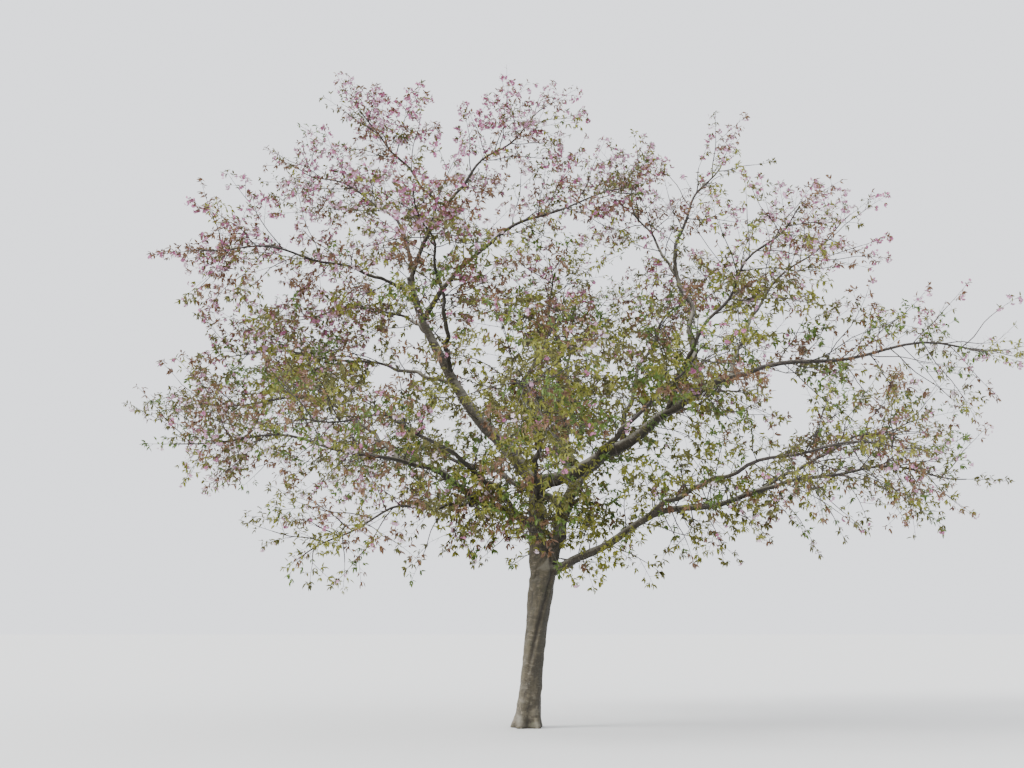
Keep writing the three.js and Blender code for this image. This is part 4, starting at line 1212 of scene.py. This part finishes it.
def bark_group():
    """Cherry bark: streaks along the limb, short bands of pores round it, dark cracks, painted shade in the
    hollows, green algae, a paler upper side, and painted shade on the side away from the sun and below.
    Thick limbs are warmer than thin ones."""
    nodes, given = new_group("cherry_bark", {
        "Place": "Vector", "Round": "Vector", "Girth": "Float", "Painted Shade": "Float", "Pale": "Color",
        "Dark": "Color", "Thin": "Color", "Algae": "Float",
    }, {"Color": "Color", "Roughness": "Float", "Height": "Float"})
    place, times, total, ramp = given["Place"], nodes.times, nodes.total, nodes.ramp
    over, coats, shares = BARK_OVER, BARK_COATS, BARK_SHARES
    around = nodes.wavering(given["Round"], place, BARK_WAVER.scale, BARK_WAVER.amount)
    marks = {
        name: nodes.speckle(nodes.stretched(around, scale), 1.0, detail, roughness)
        for name, (scale, detail, roughness) in BARK_MARKS.items()
    }
    patches, moss, lichen = (
        nodes.speckle(place, *how)
        for how in (BARK_SPECKLES.patches, BARK_SPECKLES.moss, BARK_SPECKLES.lichen)
    )
    streaks, pores = marks["streaks"], ramp(marks["pores"], *over.pores)
    bands, cracks = ramp(marks["bands"], *over.bands), ramp(marks["cracks"], *over.cracks)
    tone = total(
        times(streaks, shares.tone_streaks), times(patches, shares.tone_patches),
        times(bands, shares.tone_bands),
    )
    thin = nodes.reckon("SUBTRACT", 1.0, ramp(given["Girth"], *over.thick))
    normal = nodes.add("ShaderNodeNewGeometry").outputs["Normal"]
    facing = nodes.add("ShaderNodeSeparateXYZ", {0: normal}).outputs
    mossy = ramp(total(times(facing["Z"], shares.mossy_above), moss), *over.moss)
    # Painted shade: darker on the side that faces away from the sun and on the undersides.
    painted_side_shade = total(times(facing["X"], shares.shade_aside), times(facing["Z"], shares.shade_above))
    colour = nodes.mix(ramp(tone, *over.pale), given["Dark"], given["Pale"])
    for place_share, strength, coat in (
        (thin, coats.thin, given["Thin"]), (cracks, *coats.crack), (pores, *coats.pore),
        (given["Painted Shade"], *coats.hollow), (mossy, given["Algae"], coats.algae),
        # Paler on the upward-facing side.
        (ramp(facing["Z"], *over.upper_side), given["Algae"], coats.upper_pale),
        (ramp(lichen, *over.lichen), *coats.lichen), (ramp(painted_side_shade, *over.side_shade), *coats.painted_side_shade),
    ):
        colour = nodes.mix(times(place_share, strength), colour, coat)
    height = nodes.reckon(
        "SUBTRACT", times(streaks, shares.high_streaks), times(cracks, shares.deep_cracks),
    )
    return put_out(nodes, {
        "Color": colour, "Roughness": total(times(streaks, shares.rough_streaks), shares.rough),
        "Height": total(height, times(pores, shares.high_pores)),
    })


# The slight unevenness of leaves and petals, and how rough they are.
SOFT = SimpleNamespace(detail=2.0, over=(0.35, 0.65), rough=0.5, rougher=0.15)


def soft_group():
    """One colour drifts to another from leaf to leaf."""
    nodes, given = new_group("soft_mottle", {
        "Place": "Vector", "Scale": "Float", "First": "Color", "Second": "Color",
    }, {"Color": "Color", "Roughness": "Float"})
    inputs = {"Vector": given["Place"], "Scale": given["Scale"], "Detail": SOFT.detail}
    share = nodes.ramp(nodes.add("ShaderNodeTexNoise", inputs).outputs["Fac"], *SOFT.over)
    return put_out(nodes, {
        "Color": nodes.mix(share, given["First"], given["Second"]),
        "Roughness": nodes.total(nodes.times(share, SOFT.rougher), SOFT.rough),
    })


def new_material(name):
    material = bpy.data.materials.new(name)
    material.use_nodes = True
    return material, Nodes(material.node_tree), material.node_tree.nodes["Principled BSDF"]


def grouped_material(name, group, values):
    """A material whose colour and roughness come out of a group of nodes that knows the place."""
    material, nodes, surface = new_material(name)
    place = nodes.add("ShaderNodeTexCoord").outputs["Object"]
    used = nodes.add("ShaderNodeGroup", node_tree=group)
    for socket, value in {"Place": place, **values}.items():
        nodes.feed(used.inputs[socket], (*value, 1) if isinstance(value, tuple) else value)
    for output, socket in (("Color", "Base Color"), ("Roughness", "Roughness")):
        nodes.feed(surface.inputs[socket], used.outputs[output])
    return SimpleNamespace(material=material, nodes=nodes, surface=surface, used=used, place=place)


def bark_material(name, group, colours, algae, bump, on_limbs):
    """Bark for the limbs, whose marks follow each limb round and along, or for the thin twigs."""
    pale, dark, thin = colours
    values = {"Pale": pale, "Dark": dark, "Thin": thin, "Algae": algae}
    made = grouped_material(name, group, values)
    nodes, used = made.nodes, made.used
    if on_limbs:
        # On the limbs one attribute brings in the painted shade in the hollows and beside the groove.
        for socket, attribute, output in (
            ("Round", "bark_place", "Vector"), ("Girth", "girth", "Fac"), ("Painted Shade", "hollow", "Fac"),
        ):
            value = nodes.add("ShaderNodeAttribute", attribute_name=attribute).outputs[output]
            nodes.feed(used.inputs[socket], value)
    else:
        nodes.feed(used.inputs["Round"], made.place)
    inputs = {"Strength": bump, "Distance": BUMP_DEPTH, "Height": used.outputs["Height"]}
    nodes.feed(made.surface.inputs["Normal"], nodes.add("ShaderNodeBump", inputs).outputs["Normal"])
    return made.material


def soft_material(name, group, first, second, scale):
    return grouped_material(name, group, {"Scale": scale, "First": first, "Second": second}).material


# The limbs, the masses' spaces and what the solids grow in them.
limbs = {"trunk": trunk_limb()}
for i, row in enumerate(LIMBS):
    limbs[row.name] = bough_limb(row, i + 1, limbs)
carriers = [limb for limb in limbs.values() if limb.mass]
spaces = [space_of(limb) for limb in carriers]
stems = [stem_limb(limb, space) for limb, space in zip(carriers, spaces)]
limb_joints = [joints_of(limb, BOUGH.joints) for limb in limbs.values()]
stem_joints = [joints_of(stem, GROWTH.stem_joints) for stem in stems]
masses = []
for i, limb in enumerate(carriers):
    others = all_joints(limb_joints + stem_joints[:i] + stem_joints[i + 1:])
    masses.append(grow_mass(limb, stems[i], spaces[i], free_for(spaces[i], spaces, others)))

# The finer growth.
crown = Crown(all_joints(limb_joints))
for mass in masses:
    crown.grow(mass)
shoot_rng = np.random.default_rng(SEED.shoots)
for limb in limbs.values():
    if limb.name != "trunk":
        crown.shoots(limb, shoot_rng)
tufts = gathered_tufts(crown)

# The crown's middle and half its size, and its parts, each as where it begins and over how much it eases in.
PLACE = SimpleNamespace(
    middle=(0.8, 0.2, 5.0), halves=(6.2, 4.7, 4.3), high=(4.4, 3.2), outer=(0.5, 0.4),
    low=(4.4, 1.2), left=1.5, full_left=2.5, full_above=(4.2, 1.2), far_up=(0.7, 0.45),
)
# Blossom comes most in the parts that are both high up and far out, and richly on some sprays only.
BLOSSOM = SimpleNamespace(
    least=0.012, high=0.54, outer=0.22, low_left=0.07, alone=0.4, together=0.6,
    richness=(0.08, 0.7, 2.1), how_often=(0.33, 0.37, 0.3),
)
# Each colour's two shades, and how often it comes: anywhere, more far up, and more low on the left.
# Bronze leaves and rosy blossom lie high up and far out, and yellow-green leaves low down.
LEAF_COLOURS = (
    ("leaves_bronze", (0.125, 0.06, 0.035), (0.185, 0.105, 0.045), (0.12, 0.55, 0)),
    ("leaves_olive", (0.08, 0.08, 0.016), (0.13, 0.12, 0.024), (0.38, 0, 0)),
    ("leaves_yellow_green", (0.155, 0.165, 0.018), (0.22, 0.215, 0.026), (0.5, -0.38, 0)),
    ("leaves_fresh", (0.065, 0.115, 0.014), (0.11, 0.165, 0.022), (0.26, -0.22, 0)),
)
PETAL_COLOURS = (
    ("petals_rose", (0.43, 0.13, 0.27), (0.53, 0.21, 0.36), (0.22, 0.3, 0)),
    ("petals_blush", (0.53, 0.27, 0.41), (0.62, 0.38, 0.51), (0.45, 0, 0)),
    ("petals_pale", (0.68, 0.52, 0.6), (0.75, 0.63, 0.68), (0.24, -0.1, 0.9)),
)
STALK_SHADES = ((0.2, 0.2, 0.06), (0.26, 0.17, 0.08))
LIMB_SHADES = ((0.12, 0.1, 0.062), (0.045, 0.037, 0.022), (0.03, 0.023, 0.014))
TWIG_SHADES = ((0.06, 0.046, 0.042), (0.026, 0.019, 0.018), (0.034, 0.026, 0.025))


def easing_in(values, start, over):
    return smooth((values - start) / over)


def dealt(colours, draws):
    """The number of one colour for each spray, drawn by how often each colour comes at its place."""
    weights = np.stack([
        anywhere + by_height * far_up + on_left * low_left for *_, (anywhere, by_height, on_left) in colours
    ], axis=1)
    share = np.cumsum(weights, axis=1) / weights.sum(axis=1, keepdims=True)
    return (draws[:, None] > share).sum(axis=1)


# Where each spray is, and what is dealt out to it: its colours and how much blossom it bears.
count = crown.sprays
spray_size = np.maximum(np.bincount(tufts.numbers, minlength=count), 1)
spray_middles = np.stack([
    np.bincount(tufts.numbers, tufts.places[:, i], count) / spray_size for i in range(3)
], axis=1)
height = spray_middles[:, 2]
leftward = -spray_middles[:, 0]
high = easing_in(height, *PLACE.high)
outer = easing_in(np.linalg.norm((spray_middles - PLACE.middle) / PLACE.halves, axis=1), *PLACE.outer)
low_left = smooth((PLACE.low[0] - height) / PLACE.low[1]) * smooth(leftward / PLACE.left)
full_left = smooth(leftward / PLACE.full_left) * easing_in(height, *PLACE.full_above)
far_up = np.minimum(PLACE.far_up[0] * high + PLACE.far_up[1] * outer, 1)
deal_rng = np.random.default_rng(SEED.colours)
leaf_kind = dealt(LEAF_COLOURS, deal_rng.random(count))
petal_kind = dealt(PETAL_COLOURS, deal_rng.random(count))
richness = deal_rng.choice(BLOSSOM.richness, count, p=BLOSSOM.how_often)
chance = (
    BLOSSOM.least
    + BLOSSOM.high * high * (BLOSSOM.alone + BLOSSOM.together * outer)
    + BLOSSOM.outer * outer * (BLOSSOM.alone + BLOSSOM.together * high)
    + BLOSSOM.low_left * low_left
) * richness

mass_names = [stem.name for stem in stems]
soft = soft_group()
bark = bark_group()


def finished(piece, nodes):
    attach(piece, "root")
    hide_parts(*nodes)


def coloured_pieces(colours, corners, kinds, faces, mottle):
    """Many small forms, in one piece for each colour."""
    for kind, (name, first, second, _) in enumerate(colours):
        chosen = corners[kinds == kind]
        material = soft_material(name, soft, first, second, mottle)
        whole = repeated(faces, len(chosen), corners.shape[1])
        finished(joined_piece(name, chosen.reshape(-1, 3), [whole], material), mass_names)


# The leaves are fewer and smaller high up and far out, but for the full left side.
leaf_rng = np.random.default_rng(SEED.leaves)
leaf_counts = leaf_rng.integers(LEAF.fewest, LEAF.most + 1, len(tufts.places))
sparse = np.maximum(high, outer * (1 - full_left))[tufts.numbers]
leaf_counts -= np.round(LEAF.fewer_outside * sparse * leaf_rng.random(len(leaf_counts))).astype(int)
leaf_sizes = between(LEAF.inside_and_outside, sparse)
leaf_corners, leaf_owner = leaves_of(tufts, leaf_counts, leaf_sizes, leaf_rng)
coloured_pieces(LEAF_COLOURS, leaf_corners, leaf_kind[tufts.numbers[leaf_owner]], LEAF_FACES, LEAF.mottle)

# The blossom and all its stalks.
flower_rng = np.random.default_rng(SEED.flowers)
bearing = flower_rng.random(len(tufts.places)) < np.maximum(chance[tufts.numbers], tufts.rich)
flower_counts = np.where(bearing, flower_rng.integers(FLOWER.fewest, FLOWER.most + 1, len(bearing)), 0)
petals, petal_faces, flower_owner, stalks = flowers_of(tufts, flower_counts, flower_rng)
coloured_pieces(PETAL_COLOURS, petals, petal_kind[tufts.numbers[flower_owner]], petal_faces, FLOWER.mottle)
stalk_material = soft_material("stalks", soft, *STALK_SHADES, FLOWER.stalk_mottle)
finished(joined_piece("blossom_stalks", *stalks, stalk_material), mass_names)

# The twigs in one piece, and the twiglets in another.
twig_bark = bark_material("twig_bark", bark, TWIG_SHADES, algae=0.25, bump=0.3, on_limbs=False)
corners, faces, start = [], {}, 0
for made, parts in crown.wood.meshes():
    for part in parts:
        faces.setdefault(part.shape[1], []).append(part + start)
    corners.append(made)
    start += len(made)
twig_faces = [np.concatenate(of_one_size) for of_one_size in faces.values()]
finished(joined_piece("twigs", np.concatenate(corners), twig_faces, twig_bark, True), mass_names)
starts, ways, lengths = (np.concatenate(rows) for rows in zip(*crown.twiglets))
twiglets = spikes(starts, starts + ways * lengths[:, None], TWIGLET.radius)
finished(joined_piece("twiglets", *twiglets, twig_bark), mass_names)

# The limbs.
limb_bark = bark_material("limb_bark", bark, LIMB_SHADES, algae=0.7, bump=0.7, on_limbs=True)
main_names = [name for name in limbs if name in MAIN_LIMBS]
bough_names = [name for name in limbs if name not in MAIN_LIMBS]
for name, names, fused in (("bark_trunk_and_forks", main_names, True), ("bark_boughs", bough_names, False)):
    finished(bark_piece(name, [limbs[n] for n in names], fused, limb_bark), names)

# The floor, the light and the camera at the photograph's place.
FLOOR = SimpleNamespace(half=60, below=0.002, colour=(0.72, 0.72, 0.7, 1), roughness=0.9)
LIGHT = SimpleNamespace(
    sky=(0.93, 0.95, 1.0, 1), sky_strength=1.9, sun_strength=5.0, sun_width=25, sun_down=58, sun_turn=-74,
)
CAMERA = SimpleNamespace(place=(-0.208, -18, 1.6), up=9.76, focal=1296, picture=1024, sensor=36, sight=500)

bm = bmesh.new()
bmesh.ops.create_grid(bm, x_segments=2, y_segments=2, size=FLOOR.half)
floor = placed_object("floor", mesh_of("floor", bm))
floor.location.z = -FLOOR.below
floor_material, _, floor_surface = new_material("floor")
floor_surface.inputs["Base Color"].default_value = FLOOR.colour
floor_surface.inputs["Roughness"].default_value = FLOOR.roughness
floor.data.materials.append(floor_material)

world = bpy.data.worlds.new("sky")
world.use_nodes = True
background = world.node_tree.nodes["Background"]
background.inputs["Color"].default_value = LIGHT.sky
background.inputs["Strength"].default_value = LIGHT.sky_strength
bpy.context.scene.world = world
sun = bpy.data.lights.new("soft_key", "SUN")
sun.energy = LIGHT.sun_strength
sun.angle = math.radians(LIGHT.sun_width)
key = placed_object("soft_key", sun)
key.rotation_euler = (math.radians(LIGHT.sun_down), 0, math.radians(LIGHT.sun_turn))

camera_data = bpy.data.cameras.new("camera")
camera_data.sensor_width = CAMERA.sensor
camera_data.lens = CAMERA.sensor * CAMERA.focal / CAMERA.picture
camera_data.clip_end = CAMERA.sight
camera = placed_object("camera", camera_data)
camera.location = CAMERA.place
camera.rotation_euler = (math.radians(90 + CAMERA.up), 0, 0)
bpy.context.scene.camera = camera
